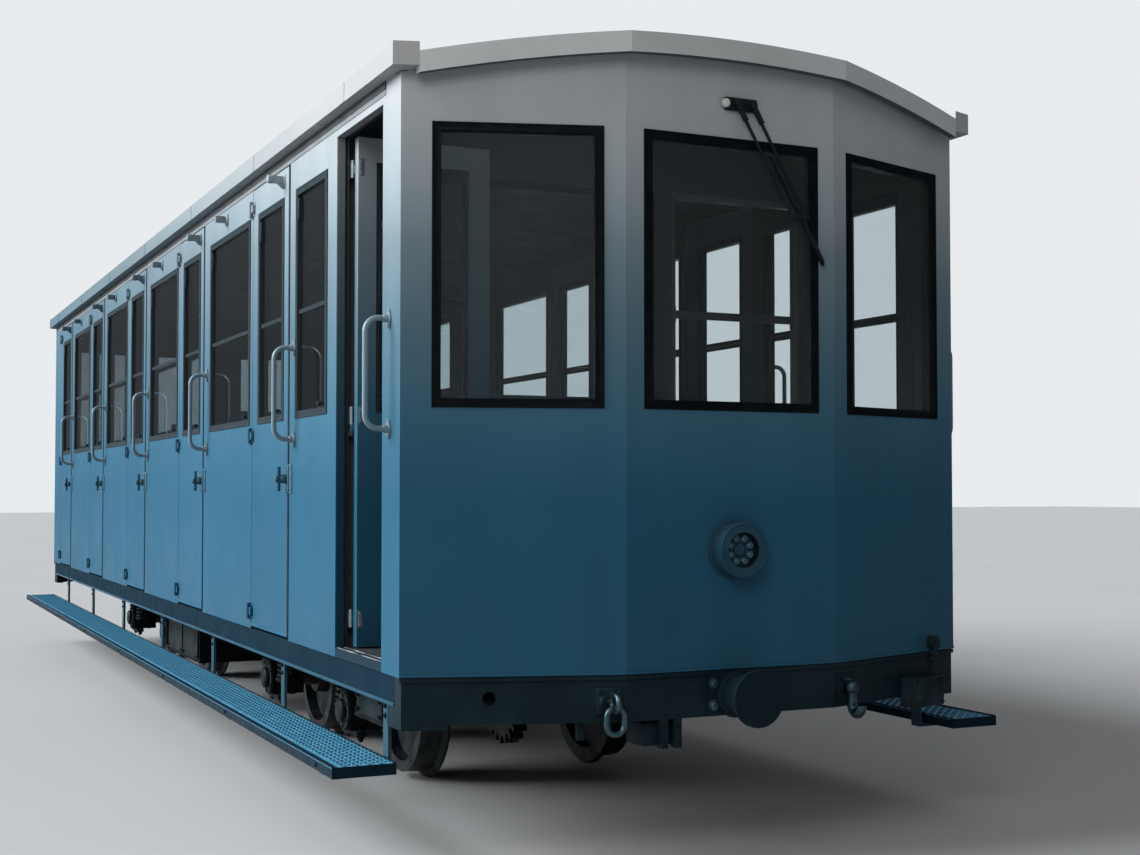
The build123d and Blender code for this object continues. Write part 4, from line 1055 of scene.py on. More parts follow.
def wall_catch():
    """Catch that holds an open door: screwed base plate, round cheek and cap."""
    x, y = -BODY_HALF, FIRST_HINGE + CATCH_RUN
    middle = sum(ARM_Z) / 2
    plate = rod("plate", 0.030, 0.006, (x - 0.002, y, middle), "x", 28)
    step_face(plate, looking("x", -1), (0.008, (-0.004, 0, 0)))
    plate = soften(plate, 0.0012, 2)
    cheek = rod("cheek", 0.016, 0.019, (x - 0.030, y, middle), "y", 20)
    cap = soften(rod("cap", 0.0105, 0.010, (x - 0.0475, y, middle), "x", 16), 0.003, 2)
    screws = [screw("screw", (x - 0.006, y + 0.023 * math.cos(a), middle + 0.023 * math.sin(a)), "x", 0.003)
              for a in (0.0, math.pi / 2, math.pi, math.pi * 1.5)]
    return join("catch", [plate, soften(cheek, 0.002, 2), cap, *screws])


def door_sill():
    """Rain lip along a door's foot."""
    x = -BODY_HALF
    front = FIRST_HINGE - LEAF_RUN
    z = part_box("door_left_1")[0].z
    lip = block("lip", (x - 0.008, x + 0.002), (front + 0.004, FIRST_HINGE - 0.006), (z + 0.004, z + 0.016))
    with editing(lip, edges=lambda a, b: min(a.x, b.x) < x - 0.007 and max(a.x, b.x) < x - 0.007
                 and a.z > z + 0.012 and b.z > z + 0.012):
        bpy.ops.transform.translate(value=(0.006, 0, 0))
    return soften(lip, 0.001, 1)


def door_fittings():
    """Handles, keepers, hinges, seals, stops, catches and rain lips of the compartment doors."""
    along_doors(door_handle(), "handle", "bright_rail", HANDLE_METAL)
    along_walls(lock_keeper(), "lock_keepers", "bright_rail", HANDLE_METAL)
    along_doors(hinge_leaf(-1), "hinge_leaf", "body_paint")
    along_walls(hinge_leaf(1), "hinge_leaves", "body_paint")
    along_doors(edge_strip(), "edge_strip", "black_fittings", EDGE_RUBBER)
    along_doors(stop_arm(), "stop_arm", "body_paint")
    along_doors(stop_shoe(), "stop_shoe", "body_paint")
    along_walls(wall_catch(), "door_catches", "body_paint", bays=range(BAYS - 1))
    along_doors(door_sill(), "rain_lip", "body_paint")


RAIL_FOOT_Z = (1.445, 1.805)


def grab_rail_feet():
    """Oval foot plates with two screws and a collar at both ends of every grab rail."""
    x = -BODY_HALF
    first = min((box for box in islands("grab_rails") if box[0].x < 0), key=lambda box: box[0].y)
    places = sorted((a.y + b.y) / 2 for a, b in islands("grab_rails") if a.x < 0)
    y = (first[0].y + first[1].y) / 2
    pieces = []
    for z in RAIL_FOOT_Z:
        plate = rod("plate", 0.017, 0.007, (x - 0.003, y, z), "x", 28)
        with editing(plate, faces=lambda middle, normal: abs(normal.x) < 0.5 and abs(normal.z) > 0.15):
            bpy.ops.transform.resize(value=(1, 1, 1.9))
        pieces.append(soften(plate, 0.0012, 2))
        collar = rod("collar", 0.0155, 0.018, (x - 0.014, y, z), "x", 24)
        scale_face(collar, looking("x", -1), (1, 0.72, 0.72))
        pieces.append(soften(collar, 0.001, 1))
        pieces += [screw("screw", (x - 0.0072, y, z + dz), "x", 0.0042) for dz in (-0.024, 0.024)]
    pattern = join("foot", pieces)
    for name, side in SIDES:
        copies = [copy_to(pattern, "foot", (ACROSS if side > 0 else Matrix()) @ shift(y=place - y))
                  for place in places]
        fit(join(f"grab_rail_feet_{name}", copies), "car", "bright_rail")
    discard(pattern)


# --- running boards ----------------------------------------------------------
BUMP_PITCH_ALONG = 0.020
BUMP_PITCH_ACROSS = 0.040
BOARD_MARGIN = 0.022


def tread_bumps():
    """Rows of raised, punched bumps on a running board, staggered row by row."""
    low, high = BOARD
    top = high.z
    outer = low.x
    inner = BOARD_INNER
    start = low.y + 0.020
    bump = rod("bump", 0.0135, 0.0045, (outer + BOARD_MARGIN + 0.018, start, top + 0.0012), "z", 6)
    with editing(bump, faces=lambda middle, normal: normal.z > 0.9):
        bpy.ops.transform.resize(value=(0.78, 0.62, 1))
        bpy.ops.mesh.inset(thickness=0.0028, depth=0)
        bpy.ops.transform.translate(value=(0, 0, -0.0040))
    across = int((inner - outer - 2 * BOARD_MARGIN) / BUMP_PITCH_ACROSS) + 1
    rows = int((high.y - low.y - 0.040) / (2 * BUMP_PITCH_ALONG))
    second = copy_to(bump, "second", shift(x=BUMP_PITCH_ACROSS / 2, y=BUMP_PITCH_ALONG))
    for row, count in ((bump, across), (second, across - 1)):
        for axis, number, pitch in ((0, count, BUMP_PITCH_ACROSS), (1, rows, 2 * BUMP_PITCH_ALONG)):
            only(row)
            copies = row.modifiers.new("row", "ARRAY")
            copies.count = number
            copies.use_relative_offset = False
            copies.use_constant_offset = True
            copies.constant_offset_displace = [pitch if i == axis else 0.0 for i in range(3)]
            bpy.ops.object.modifier_apply(modifier="row")
    return join("tread_bumps", [bump, second])


def board_edges():
    """Twin bead along the outer edge, a single one inside and end caps."""
    low, high = BOARD
    top, outer, inner = high.z, low.x, BOARD_INNER
    pieces = []
    # columns: distance in from the outer edge, width, height of a bead
    for offset, width, height in ((0.0, 0.007, 0.004), (0.012, 0.005, 0.0025),
                                  (inner - outer - 0.007, 0.007, 0.004)):
        pieces.append(soften(block("bead", (outer + offset, outer + offset + width), (low.y, high.y),
                                   (top - 0.002, top + height)), 0.0012, 2))
    for y in (low.y, high.y):
        cap = block("cap", (outer - 0.001, inner + 0.001), (y - 0.003, y + 0.003),
                    (low.z - 0.001, top + 0.001))
        pieces.append(soften(cap, 0.001, 1))
    return join("board_edges", pieces)


def board_bolts():
    """A bolt through the board's side at each hanger, and the hangers' own bolts."""
    low, high = BOARD
    pieces = []
    for first, last in islands("footboard_hangers"):
        if first.x > 0:
            continue
        y = (first.y + last.y) / 2
        pieces.append(bolt("bolt", (low.x + 0.0005, y, (low.z + high.z) / 2), "x", 0.006, 0.005))
        pieces += [bolt("bolt", (-1.0805, y, SOLE_BOTTOM - dz), "x", 0.007, 0.006)
                   for dz in (0.018, 0.050)]
    return join("board_bolts", pieces)


def running_boards():
    """Bumps, edges and bolts of both running boards."""
    both_sides(tread_bumps(), "tread_bumps", "tread_plate")
    both_sides(board_edges(), "board_edges", "tread_plate", BOARD_SHADED_SIDE)
    both_sides(board_bolts(), "board_bolts", "tread_plate", SOLE_PAINT)


# --- body edges --------------------------------------------------------------
def facet_band(name, end, z_span, out_span, margin=0.0):
    """A band along the three panels of an end."""
    half = CENTRE_HALF + max(out_span) * math.tan(FACET_ANGLE / 2)
    facet_run = (BODY_HALF - CENTRE_HALF) / math.cos(FACET_ANGLE) - margin
    z = (z_span[0] + z_span[1]) / 2
    tall = z_span[1] - z_span[0]
    pieces = [moved(block("band", (-half, half), (-out_span[1], -out_span[0]), (-tall / 2, tall / 2)),
                    on_centre(end, 0, z))]
    for _, side in SIDES:
        band = block("band", (-facet_run / 2, facet_run / 2), (-out_span[1], -out_span[0]),
                     (-tall / 2, tall / 2))
        pieces.append(moved(band, on_facet(end, side, facet_run / 2, z)))
    return soften(join(name, pieces), 0.001, 1)


def body_edges():
    """Lips along the feet of the panels, the sole bars' lower flange and beam plates."""
    for end_name, end in ENDS:
        fit(facet_band(f"panel_lip_{end_name}", end, (BODY_BOTTOM + 0.001, BODY_BOTTOM + 0.009),
                       (-0.002, 0.0035)), "car", "body_paint")
        fit(facet_band(f"beam_top_flange_{end_name}", end, (BODY_BOTTOM - 0.016, BODY_BOTTOM - 0.002),
                       (-0.008, 0.000)), "car", "frame_paint")
    low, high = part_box("sole_bars")
    flange = soften(block("flange", (low.x - 0.004, low.x + 0.030), (low.y, high.y),
                          (SOLE_BOTTOM - 0.006, SOLE_BOTTOM + 0.006)), 0.0015, 2)
    both_sides(flange, "sole_bar_flange", "frame_paint", SOLE_EDGE)


# --- leading end -------------------------------------------------------------
LAMP_LOW, LAMP_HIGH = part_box("headlight")
LAMP_Z = (LAMP_LOW.z + LAMP_HIGH.z) / 2
LAMP_RADIUS = (LAMP_HIGH.z - LAMP_LOW.z) / 2
LAMP_OPENING = 0.060
LED_RING = 0.0395
LEDS = 8


def lamp_rim():
    """Wall flange with screws and turned front lip."""
    front = LAMP_LOW.y
    flange = soften(rod("flange", LAMP_RADIUS + 0.009, 0.008, (0, FRONT - 0.003, LAMP_Z), "y", 64), 0.002, 2)
    bpy.ops.object.select_all(action="DESELECT")
    bpy.ops.mesh.primitive_torus_add(major_radius=LAMP_RADIUS - 0.006, minor_radius=0.0050,
                                     major_segments=64, minor_segments=12,
                                     location=(0, front + 0.001, LAMP_Z), rotation=(math.pi / 2, 0, 0))
    lip = smooth(named("lip"), 80)
    screws = [screw("screw", ((LAMP_RADIUS + 0.0035) * math.cos(a), FRONT - 0.0075,
                              LAMP_Z + (LAMP_RADIUS + 0.0035) * math.sin(a)), "y", 0.0032)
              for a in (math.radians(d) for d in (45, 135, 225, 315))]
    return join("lamp_rim", [flange, lip, *screws])


def lamp_sleeve():
    """Sleeve and carrier plate inside the lamp."""
    back = FRONT - 0.026
    front = LAMP_LOW.y
    sleeve = rod("sleeve", LAMP_OPENING + 0.0005, back - front - 0.002,
                 (0, (back + front) / 2 + 0.001, LAMP_Z), "y", 64)
    hollow(sleeve, looking("y"), 0.004)
    sleeve = soften(sleeve, 0.001, 1)
    plate = rod("plate", LAMP_OPENING - 0.003, 0.005, (0, back - 0.0015, LAMP_Z), "y", 48)
    step_face(plate, looking("y", -1), (0.004, (0, 0.0015, 0)))
    return sleeve, smooth(plate)


def led_cup():
    """One lamp of the cluster: a dished cup, drawn about the origin facing -Y."""
    cup = rod("cup", 0.0125, 0.014, (0, 0, 0), "y", 24)
    step_face(cup, looking("y", -1), (0.0018, (0, 0.003, 0)), (0.003, (0, 0.004, 0)))
    return smooth(cup, 40)


def led_lens():
    """Domed lens that sits in a cup."""
    bpy.ops.object.select_all(action="DESELECT")
    bpy.ops.mesh.primitive_uv_sphere_add(segments=20, ring_count=10, radius=0.0085, location=(0, 0.001, 0))
    lens = named("lens")
    with editing(lens, faces=lambda middle, normal: True):
        bpy.ops.transform.resize(value=(1, 0.55, 1))
    return smooth(lens, 60)


def headlamp():
    """Rim, sleeve, carrier plate, cups and lenses of the leading end's lamp."""
    fit(lamp_rim(), "car", "lamp_ring")
    sleeve, plate = lamp_sleeve()
    fit(sleeve, "car", "black_fittings")
    cup, lens = led_cup(), led_lens()
    cups, lenses = [], []
    for number in range(LEDS):
        angle = 2 * math.pi * (number + 0.5) / LEDS
        place = shift(LED_RING * math.cos(angle), FRONT - 0.034, LAMP_Z + LED_RING * math.sin(angle))
        cups.append(copy_to(cup, "cup", place))
        lenses.append(copy_to(lens, "lens", place))
    hub = rod("hub", 0.020, 0.008, (0, FRONT - 0.031, LAMP_Z), "y", 32)
    step_face(hub, looking("y", -1), (0.005, (0, -0.003, 0)), (0.009, (0, 0.004, 0)))
    fit(join("lamp_cups", cups), "car", "lamp_ring", CLUSTER)
    fit(join("lamp_plate", [plate, smooth(hub)]), "car", "lamp_ring")
    fit(join("lamp_lenses", lenses), "car", "glass", LENS)
    discard(cup)
    discard(lens)


WIPER_PIVOTS = ((0.0, 2.547), (0.062, 2.543))
WIPER_REACH = (0.215, -0.365)


def wiper_arm(x, z, reach, start, end, y, widths, thick):
    """A tapering flat arm between two shares of the reach from a pivot."""
    dx, dz = reach
    length = math.hypot(dx, dz)
    a, b = start * length, end * length
    arm = block("arm", (-widths[0] / 2, widths[0] / 2), (y - thick / 2, y + thick / 2), (-b, -a))
    ratio = widths[1] / widths[0]
    scale_face(arm, looking("z", -1), (ratio, 1, 1))
    arm = soften(arm, 0.0012, 2)
    tilt = math.atan2(dx, -dz)
    return moved(arm, shift(x, 0, z) @ Matrix.Rotation(-tilt, 4, "Y"))


def wiper():
    """Pivot box, twin arms with hinge heads, spring clip and blade with its rubber."""
    face = FRONT
    box = soften(block("box", (-0.036, 0.088), (face - 0.016, face + 0.001), (2.526, 2.569)), 0.004, 3)
    pieces = [box]
    for x, z in WIPER_PIVOTS:
        hub = rod("hub", 0.0125, 0.026, (x, face - 0.026, z), "y", 24)
        step_face(hub, looking("y", -1), (0.003, (0, -0.003, 0)))
        pieces.append(soften(hub, 0.001, 1))
        pieces.append(wiper_arm(x, z, WIPER_REACH, -0.02, 0.16, face - 0.031, (0.018, 0.015), 0.013))
        pieces.append(wiper_arm(x, z, WIPER_REACH, 0.14, 1.0, face - 0.029, (0.011, 0.007), 0.006))
    tip_x = WIPER_PIVOTS[0][0] + WIPER_REACH[0]
    tip_z = WIPER_PIVOTS[0][1] + WIPER_REACH[1]
    link = soften(block("link", (tip_x - 0.010, tip_x + 0.072), (face - 0.034, face - 0.024),
                        (tip_z - 0.008, tip_z + 0.006)), 0.002, 2)
    tilt = math.atan2(WIPER_REACH[0], -WIPER_REACH[1])
    blade_place = shift(tip_x + 0.031, 0, tip_z + 0.020) @ Matrix.Rotation(-tilt, 4, "Y")
    spine = soften(block("spine", (-0.0055, 0.0055), (face - 0.027, face - 0.018), (-0.200, 0.200)), 0.002, 2)
    bows = [soften(block("bow", (-0.006, 0.006), (face - 0.030, face - 0.014), (z - 0.030, z + 0.030)),
                   0.003, 2) for z in (-0.130, 0.130)]
    rubber_lip = block("lip", (-0.006, 0.006), (face - 0.018, face - 0.0045), (-0.210, 0.210))
    scale_face(rubber_lip, looking("y", 1), (0.25, 1, 1))
    pieces += [link, *(moved(piece, blade_place) for piece in (spine, *bows, rubber_lip))]
    made = join("wiper_assembly", pieces)
    fit(made, "car", "black_fittings")
    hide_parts("wiper")
    cap = rod("cap", 0.0150, 0.012, (-0.036, face - 0.013, WIPER_PIVOTS[0][1]), "y", 24)
    step_face(cap, looking("y", -1), (0.004, (0, -0.004, 0)))
    fit(soften(join("wiper_washer_cap", [cap]), 0.001, 2), "car", "bright_rail", PALE_CAP)


BUFFER_Z = 0.567
BUFFER_BOLTS = ((-0.086, 0.606), (-0.086, 0.534), (0.086, 0.606), (0.086, 0.534))


def buffer_fittings(end_name, end):
    """Bolts, socket ring and collar of a central buffer."""
    pieces = [facing_bolt("bolt", x, z - BUFFER_Z, 0.0130, 0.013) for x, z in BUFFER_BOLTS]
    for piece in pieces:
        moved(piece, shift(y=-0.006))
    fit(moved(join(f"buffer_bolts_{end_name}", pieces), on_centre(end, 0, BUFFER_Z)),
        "car", "bare_steel", BOLT_METAL)
    pieces = []
    socket = rod("socket", 0.080, 0.030, (0, -0.018, 0), "y", 48)
    scale_face(socket, looking("y", -1), (0.92, 1, 0.92))
    pieces.append(soften(socket, 0.003, 2))
    collar = soften(rod("collar", 0.0725, 0.012, (0, -0.132, 0), "y", 48), 0.002, 2)
    pieces.append(collar)
    fit(moved(join(f"buffer_fittings_{end_name}", pieces), on_centre(end, 0, BUFFER_Z)),
        "car", "frame_paint", BUFFER_PAINT)


DRAW_EYE = (0.460, 0.565)       # of a drawbar eye: out from the middle, and up


def draw_plates(end_name, end):
    """Square plate with four bolts behind each drawbar eye."""
    pieces = []
    for side in (-1, 1):
        run = (DRAW_EYE[0] - CENTRE_HALF) / math.cos(FACET_ANGLE)
        plate = soften(block("plate", (-0.044, 0.044), (-0.004, 0.007), (-0.044, 0.044)), 0.002, 2)
        bolts = [facing_bolt("bolt", x, z, 0.0065, 0.007) for x in (-0.031, 0.031) for z in (-0.031, 0.031)]
        for piece in bolts:
            moved(piece, shift(y=-0.004))
        made = join("plate", [plate, *bolts])
        pieces.append(moved(made, on_facet(end, side, run, DRAW_EYE[1])))
    fit(join(f"draw_plates_{end_name}", pieces), "car", "frame_paint")


def beam_bracket(end_name, end):
    """Bolted strap bracket under the beam, left of the buffer, and a small lug further out."""
    pieces = []
    for x in (-0.264, -0.214):
        strap = soften(block("strap", (x - 0.013, x + 0.013), (-0.004, 0.030), (-0.095, 0.010)), 0.002, 2)
        bolts = [facing_bolt("bolt", x, z, 0.0055, 0.006) for z in (-0.078, -0.022)]
        for piece in bolts:
            moved(piece, shift(y=-0.004))
        pieces += [strap, *bolts]
    pieces.append(soften(block("pad", (-0.330, -0.196), (0.030, 0.150), (-0.088, -0.012)), 0.004, 2))
    pieces.append(soften(block("lug", (-0.545, -0.520), (0.070, 0.090), (-0.060, 0.010)), 0.002, 2))
    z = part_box("centre_sills")[0].z - 0.060
    fit(moved(join(f"beam_bracket_{end_name}", pieces), on_centre(end, 0, z, -0.006)),
        "car", "frame_paint")


def brake_cock():
    """Air cock: bracket box with lid, riser with unions, round valve and side nozzle."""
    place = on_facet(-1, 1, 0.476, 0.515)
    x0, x1, y0, y1, z0, z1 = -0.092, 0.092, -0.064, 0.002, -0.054, 0.054
    box = soften(block("box", (x0, x1), (y0, y1), (z0, z1)), 0.004, 2)
    step_face(box, looking("y", -1), (0.012, (0, 0.004, 0)))
    pieces = [box]
    pieces += [moved(facing_bolt("bolt", x, z, 0.005, 0.006), shift(y=y0))
               for x in (x0 + 0.012, x1 - 0.012) for z in (z0 + 0.012, z1 - 0.012)]
    riser_x, riser_y = 0.056, -0.038
    pieces.append(smooth(rod("riser", 0.0105, 0.180, (riser_x, riser_y, 0.090), "z", 20)))
    for z, radius, height in ((0.062, 0.018, 0.016), (0.112, 0.0240, 0.020), (0.134, 0.0190, 0.014)):
        pieces.append(soften(rod("union", radius, height, (riser_x, riser_y, z), "z", 6), 0.002, 1))
    valve = rod("valve", 0.0250, 0.030, (riser_x, riser_y - 0.004, 0.172), "y", 32)
    step_face(valve, looking("y", -1), (0.008, (0, 0.007, 0)))
    pieces.append(soften(valve, 0.002, 2))
    pieces.append(smooth(rod("spindle", 0.0050, 0.012, (riser_x, riser_y - 0.013, 0.172), "y", 12)))
    lever = rod("lever", 0.0055, 0.044, (riser_x + 0.020, riser_y + 0.004, 0.190), "x", 14)
    pieces.append(soften(lever, 0.0025, 2))
    nozzle = rod("nozzle", 0.017, 0.050, (0.114, -0.032, 0.000), "x", 24, tip=0.011)
    pieces.append(smooth(nozzle))
    pieces.append(soften(rod("nut", 0.020, 0.016, (0.096, -0.032, 0.000), "x", 6), 0.002, 1))
    made = moved(join("air_cock", pieces), place)
    fit(made, "car", "black_fittings", COCK_METAL)
    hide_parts("brake_cock")


def air_elbow():
    """Cast elbow that leads from the cock's box back under the beam."""
    place = on_facet(-1, 1, 0.516, 0.400)
    bpy.ops.object.select_all(action="DESELECT")
    bpy.ops.mesh.primitive_circle_add(vertices=16, radius=0.017, fill_type="NGON",
                                      location=(0, -0.030, 0.064), rotation=(0, 0, 0))
    elbow = named("elbow")
    with editing(elbow, faces=lambda middle, normal: True):
        bpy.ops.mesh.spin(steps=10, angle=math.radians(80), center=(0.0, 0.030, 0.064), axis=(1, 0, 0))
    with editing(elbow, faces=lambda middle, normal: True):
        bpy.ops.mesh.normals_make_consistent(inside=False)
    return moved(smooth(elbow, 60), place)


# --- cab doorways ------------------------------------------------------------
DOORWAY = (FRONT + 0.409, FRONT + 0.934)    # front and rear jamb
CAB_HINGE_Z = (0.785, 1.515, 2.410)
CAB_LOCK_Z = 1.16
CAB_LOCK_RUN = 0.045            # from a cab door's free edge to its lock


def threshold():
    """Two bright strips along the sill of the left doorway."""
    x = -BODY_HALF
    low, high = DOORWAY
    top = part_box("cab_door_left")[0].z - 0.005
    strips = []
    for run in (0.006, 0.033):
        strip = block("strip", (x + run, x + run + 0.007), (low + 0.002, high - 0.002),
                      (top - 0.001, top + 0.003))
        strips.append(soften(strip, 0.001, 1))
    return join("threshold_strips", strips)


def threshold_grooves():
    """Dark rubber inlay between the threshold's strips."""
    x = -BODY_HALF
    low, high = DOORWAY
    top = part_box("cab_door_left")[0].z - 0.005
    inlay = block("inlay", (x + 0.014, x + 0.032), (low + 0.002, high - 0.002), (top - 0.001, top + 0.0015))
    step_face(inlay, looking("z", 1), (0.004, (0, 0, -0.001)))
    return soften(inlay, 0.0004, 1)


def jamb_seal():
    """Rubber profile round the doorway's jambs and head."""
    x = -BODY_HALF
    low, high = DOORWAY
    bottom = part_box("cab_door_left")[0].z
    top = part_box("cab_door_left")[1].z
    pieces = []
    for y_span, z_span in (((high - 0.0045, high + 0.0005), (bottom, top + 0.004)),
                           ((low - 0.0005, low + 0.0040), (bottom, top + 0.004)),
                           ((low, high), (top + 0.0015, top + 0.0055))):
        pieces.append(soften(block("seal", (x + 0.030, x + 0.040), y_span, z_span), 0.0012, 1))
    return join("jamb_seal", pieces)


def cab_hinge_leaves():
    """Pins and jamb leaves of the left cab door's three hinges, and the door's own leaves."""
    pin = HINGES["cab_door_left_hinge"]
    door_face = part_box("cab_door_left")[0].y
    jamb, leaf = [], []
    for z in CAB_HINGE_Z:
        jamb.append(soften(block("leaf", (pin.x - 0.009, pin.x - 0.001), (pin.y + 0.002, pin.y + 0.0050),
                                 (z - HINGE_HALF, z + HINGE_HALF)), 0.001, 1))
        jamb.append(soften(rod("pin", 0.0078, 2 * HINGE_HALF + 0.004, (pin.x, pin.y, z), "z", 18), 0.001, 1))
        plate = block("leaf", (pin.x + 0.010, pin.x + 0.027), (door_face - 0.0025, door_face + 0.001),
                      (z - HINGE_HALF, z + HINGE_HALF))
        leaf.append(soften(plate, 0.001, 1))
        leaf += [screw("screw", (pin.x + 0.0185, door_face - 0.0032, z + dz), "y", 0.0042)
                 for dz in (-0.020, 0.020)]
    return join("cab_hinge_jamb", jamb), join("cab_hinge_leaf", leaf)


def cab_door_lock(name, place, body):
    """Lever lock of a cab door, drawn facing -Y: plate, lever and thumb turn."""
    plate = soften(block("plate", (-0.020, 0.020), (-0.005, 0.001), (-0.075, 0.075)), 0.003, 2)
    boss = soften(rod("boss", 0.014, 0.016, (0, -0.010, 0.030), "y", 20), 0.002, 2)
    lever = block("lever", (-0.006, 0.100), (-0.030, -0.018), (0.022, 0.038))
    with editing(lever, faces=lambda middle, normal: normal.x > 0.9):
        bpy.ops.mesh.extrude_region_move(TRANSFORM_OT_translate={"value": (0.012, 0.010, 0)})
    neck = soften(rod("neck", 0.009, 0.016, (0, -0.020, 0.030), "y", 16), 0.002, 1)
    turn = soften(rod("turn", 0.010, 0.012, (0, -0.009, -0.040), "y", 18), 0.003, 2)
    made = join(name, [plate, boss, soften(lever, 0.003, 2), neck, turn])
    fit(moved(made, place), body, "bright_rail", HANDLE_METAL)


def cab_doorways():
    """Thresholds, seals, hinges and locks of the cab doors."""
    both_sides(threshold(), "threshold_strips", "bright_rail", STRIP_METAL)
    both_sides(threshold_grooves(), "threshold_inlay", "black_fittings")
    both_sides(jamb_seal(), "jamb_seal", "black_fittings")
    jamb, leaf = cab_hinge_leaves()
    fit(jamb, "car", "bright_rail", HINGE_METAL)
    fit(leaf, "cab_door_left", "bright_rail", HINGE_METAL)
    low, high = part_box("cab_door_left")
    cab_door_lock("cab_door_left_lock", on_wall(0.0, high.x - CAB_LOCK_RUN, low.y, CAB_LOCK_Z) @ ACROSS,
                  "cab_door_left")
    low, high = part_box("cab_door_right")
    face = BODY_HALF - 0.005
    cab_door_lock("cab_door_right_lock", on_wall(FACING[1], face, low.y + CAB_LOCK_RUN, CAB_LOCK_Z),
                  "cab_door_right")


# --- inside ------------------------------------------------------------------
SLAT = 0.062
SLAT_THICK = 0.014
SLAT_GAP = 0.014
LAST_BACK_Y = 4.2               # only the rearmost bench back reaches past this


def slat(name, x_span, y_span, z_span):
    """One slat with rounded edges."""
    return soften(block(name, x_span, y_span, z_span), 0.004, 2)


def benches():
    """Slats over every seat box and on both faces of every back, with a top rail."""
    slats, ends = [], []
    for low, high in islands("bench_seats"):
        y = low.y + 0.012
        while y + SLAT < high.y:
            slats.append(slat("slat", (low.x + 0.010, high.x - 0.010), (y, y + SLAT),
                              (high.z - 0.001, high.z + SLAT_THICK)))
            y += SLAT + SLAT_GAP
    seat_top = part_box("bench_seats")[1].z
    for low, high in islands("bench_backs"):
        faces = [(low.y - SLAT_THICK, low.y + 0.001), (high.y - 0.001, high.y + SLAT_THICK)]
        if abs(low.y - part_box("bulkhead")[1].y) < 0.01:      # its other face is against the bulkhead
            faces = faces[1:]
        if high.y > LAST_BACK_Y:                             # its other face looks at the end wall
            faces = faces[:1]
        for y_span in faces:
            z = seat_top + 0.075
            while z + SLAT < high.z:
                slats.append(slat("slat", (low.x + 0.010, high.x - 0.010), y_span, (z, z + SLAT)))
                z += SLAT + SLAT_GAP
        cap = rod("cap", 0.024, high.x - low.x - 0.010,
                  ((low.x + high.x) / 2, (low.y + high.y) / 2, high.z + 0.004),
                  "x", 20)
        ends.append(soften(cap, 0.003, 2))
    fit(join("bench_slats", slats), "car", "bench_wood")
    fit(join("bench_top_rails", ends), "car", "bright_rail", HANDLE_METAL)


def ceiling_fittings():
    """Round ceiling lamps in their rims, one to a bay."""
    lamps, rims = [], []
    for bay in range(BAYS):
        y = FIRST_HINGE - LEAF_RUN / 2 + BAY_PITCH * bay
        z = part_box("roof")[1].z - 0.048
        lamp = rod("lamp", 0.085, 0.030, (0, y, z - 0.012), "z", 32)
        step_face(lamp, looking("z", -1), (0.030, (0, 0, -0.012)))
        lamps.append(smooth(lamp, 50))
        rim = rod("rim", 0.098, 0.014, (0, y, z - 0.004), "z", 32)
        rims.append(soften(rim, 0.003, 2))
    fit(join("ceiling_lamps", lamps), "car", "glass", LAMP_BOWL)
    fit(join("ceiling_lamp_rims", rims), "car", "interior_panel")


def driving_desk():
    """Sloped instrument hood with blank dials, two levers and a row of knobs."""
    low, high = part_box("cab_desk")
    hood = block("hood", (low.x + 0.02, high.x - 0.02), (low.y + 0.010, low.y + 0.105),
                 (high.z - 0.001, high.z + 0.130))
    with editing(hood, edges=lambda a, b: a.z > high.z + 0.12 and b.z > high.z + 0.12
                 and a.y > low.y + 0.10 and b.y > low.y + 0.10):
        bpy.ops.transform.translate(value=(0, -0.055, 0))
    fit(soften(hood, 0.008, 3), "car", "interior_panel")
    dials, knobs = [], []
    slope = math.atan2(0.055, 0.131)
    for number in range(4):
        x = low.x + 0.11 + 0.14 * number
        dial = rod("dial", 0.042, 0.012, (0, 0, 0), "y", 32)
        step_face(dial, looking("y", 1), (0.005, (0, -0.004, 0)))
        place = shift(x, low.y + 0.083, high.z + 0.064) @ Matrix.Rotation(slope, 4, "X")
        dials.append(moved(smooth(dial), place))
        knob = soften(rod("knob", 0.014, 0.022, (x, low.y + 0.140, high.z + 0.009), "z", 18), 0.004, 2)
        knobs.append(knob)
    for x in (low.x + 0.07, high.x - 0.09):
        knobs.append(soften(rod("lever", 0.008, 0.170, (x, high.y - 0.045, high.z + 0.080), "z", 16),
                            0.002, 1))
        knobs.append(soften(rod("grip", 0.022, 0.034, (x, high.y - 0.045, high.z + 0.170), "z", 20),
                            0.010, 3))
    fit(join("desk_dials", dials), "car", "black_fittings")
    fit(join("desk_controls", knobs), "car", "black_fittings")


def window_cills():
    """Inner cills under the side windows, along the whole wall."""
    low = min(box[0].z for box in islands("glass_sides"))
    spans = [(FRONT + 1.02, FRONT + 1.50)]
    spans += [(first.y - 0.02, last.y + 0.02) for first, last in islands("glass_sides")
              if first.x < 0 and last.y - first.y > 0.6]
    pieces = [soften(block("cill", (-BODY_HALF + WALL - 0.001, -BODY_HALF + WALL + 0.022), span,
                           (low - 0.035, low - 0.010)), 0.004, 2) for span in spans]
    both_sides(join("window_cills", pieces), "window_cills", "interior_panel")


# --- running gear ------------------------------------------------------------
TREAD_RADIUS = 0.280
COVER_FACE = 0.750
BOX_OUT = 0.712
BOGIE_FRAME = (0.636, 0.660)
BOGIE_FRAME_Z = (0.375, 0.485)
SPRING_X = 0.700
SPRING_ALONG = 0.150            # a spring's place before and behind the axle
WING_ALONG = (0.070, 0.190)     # a spring wing's ends, measured the same way
WING_X = (0.660, 0.735)
HEAD_X = (0.655, 0.740)         # of the plate over a pair of springs


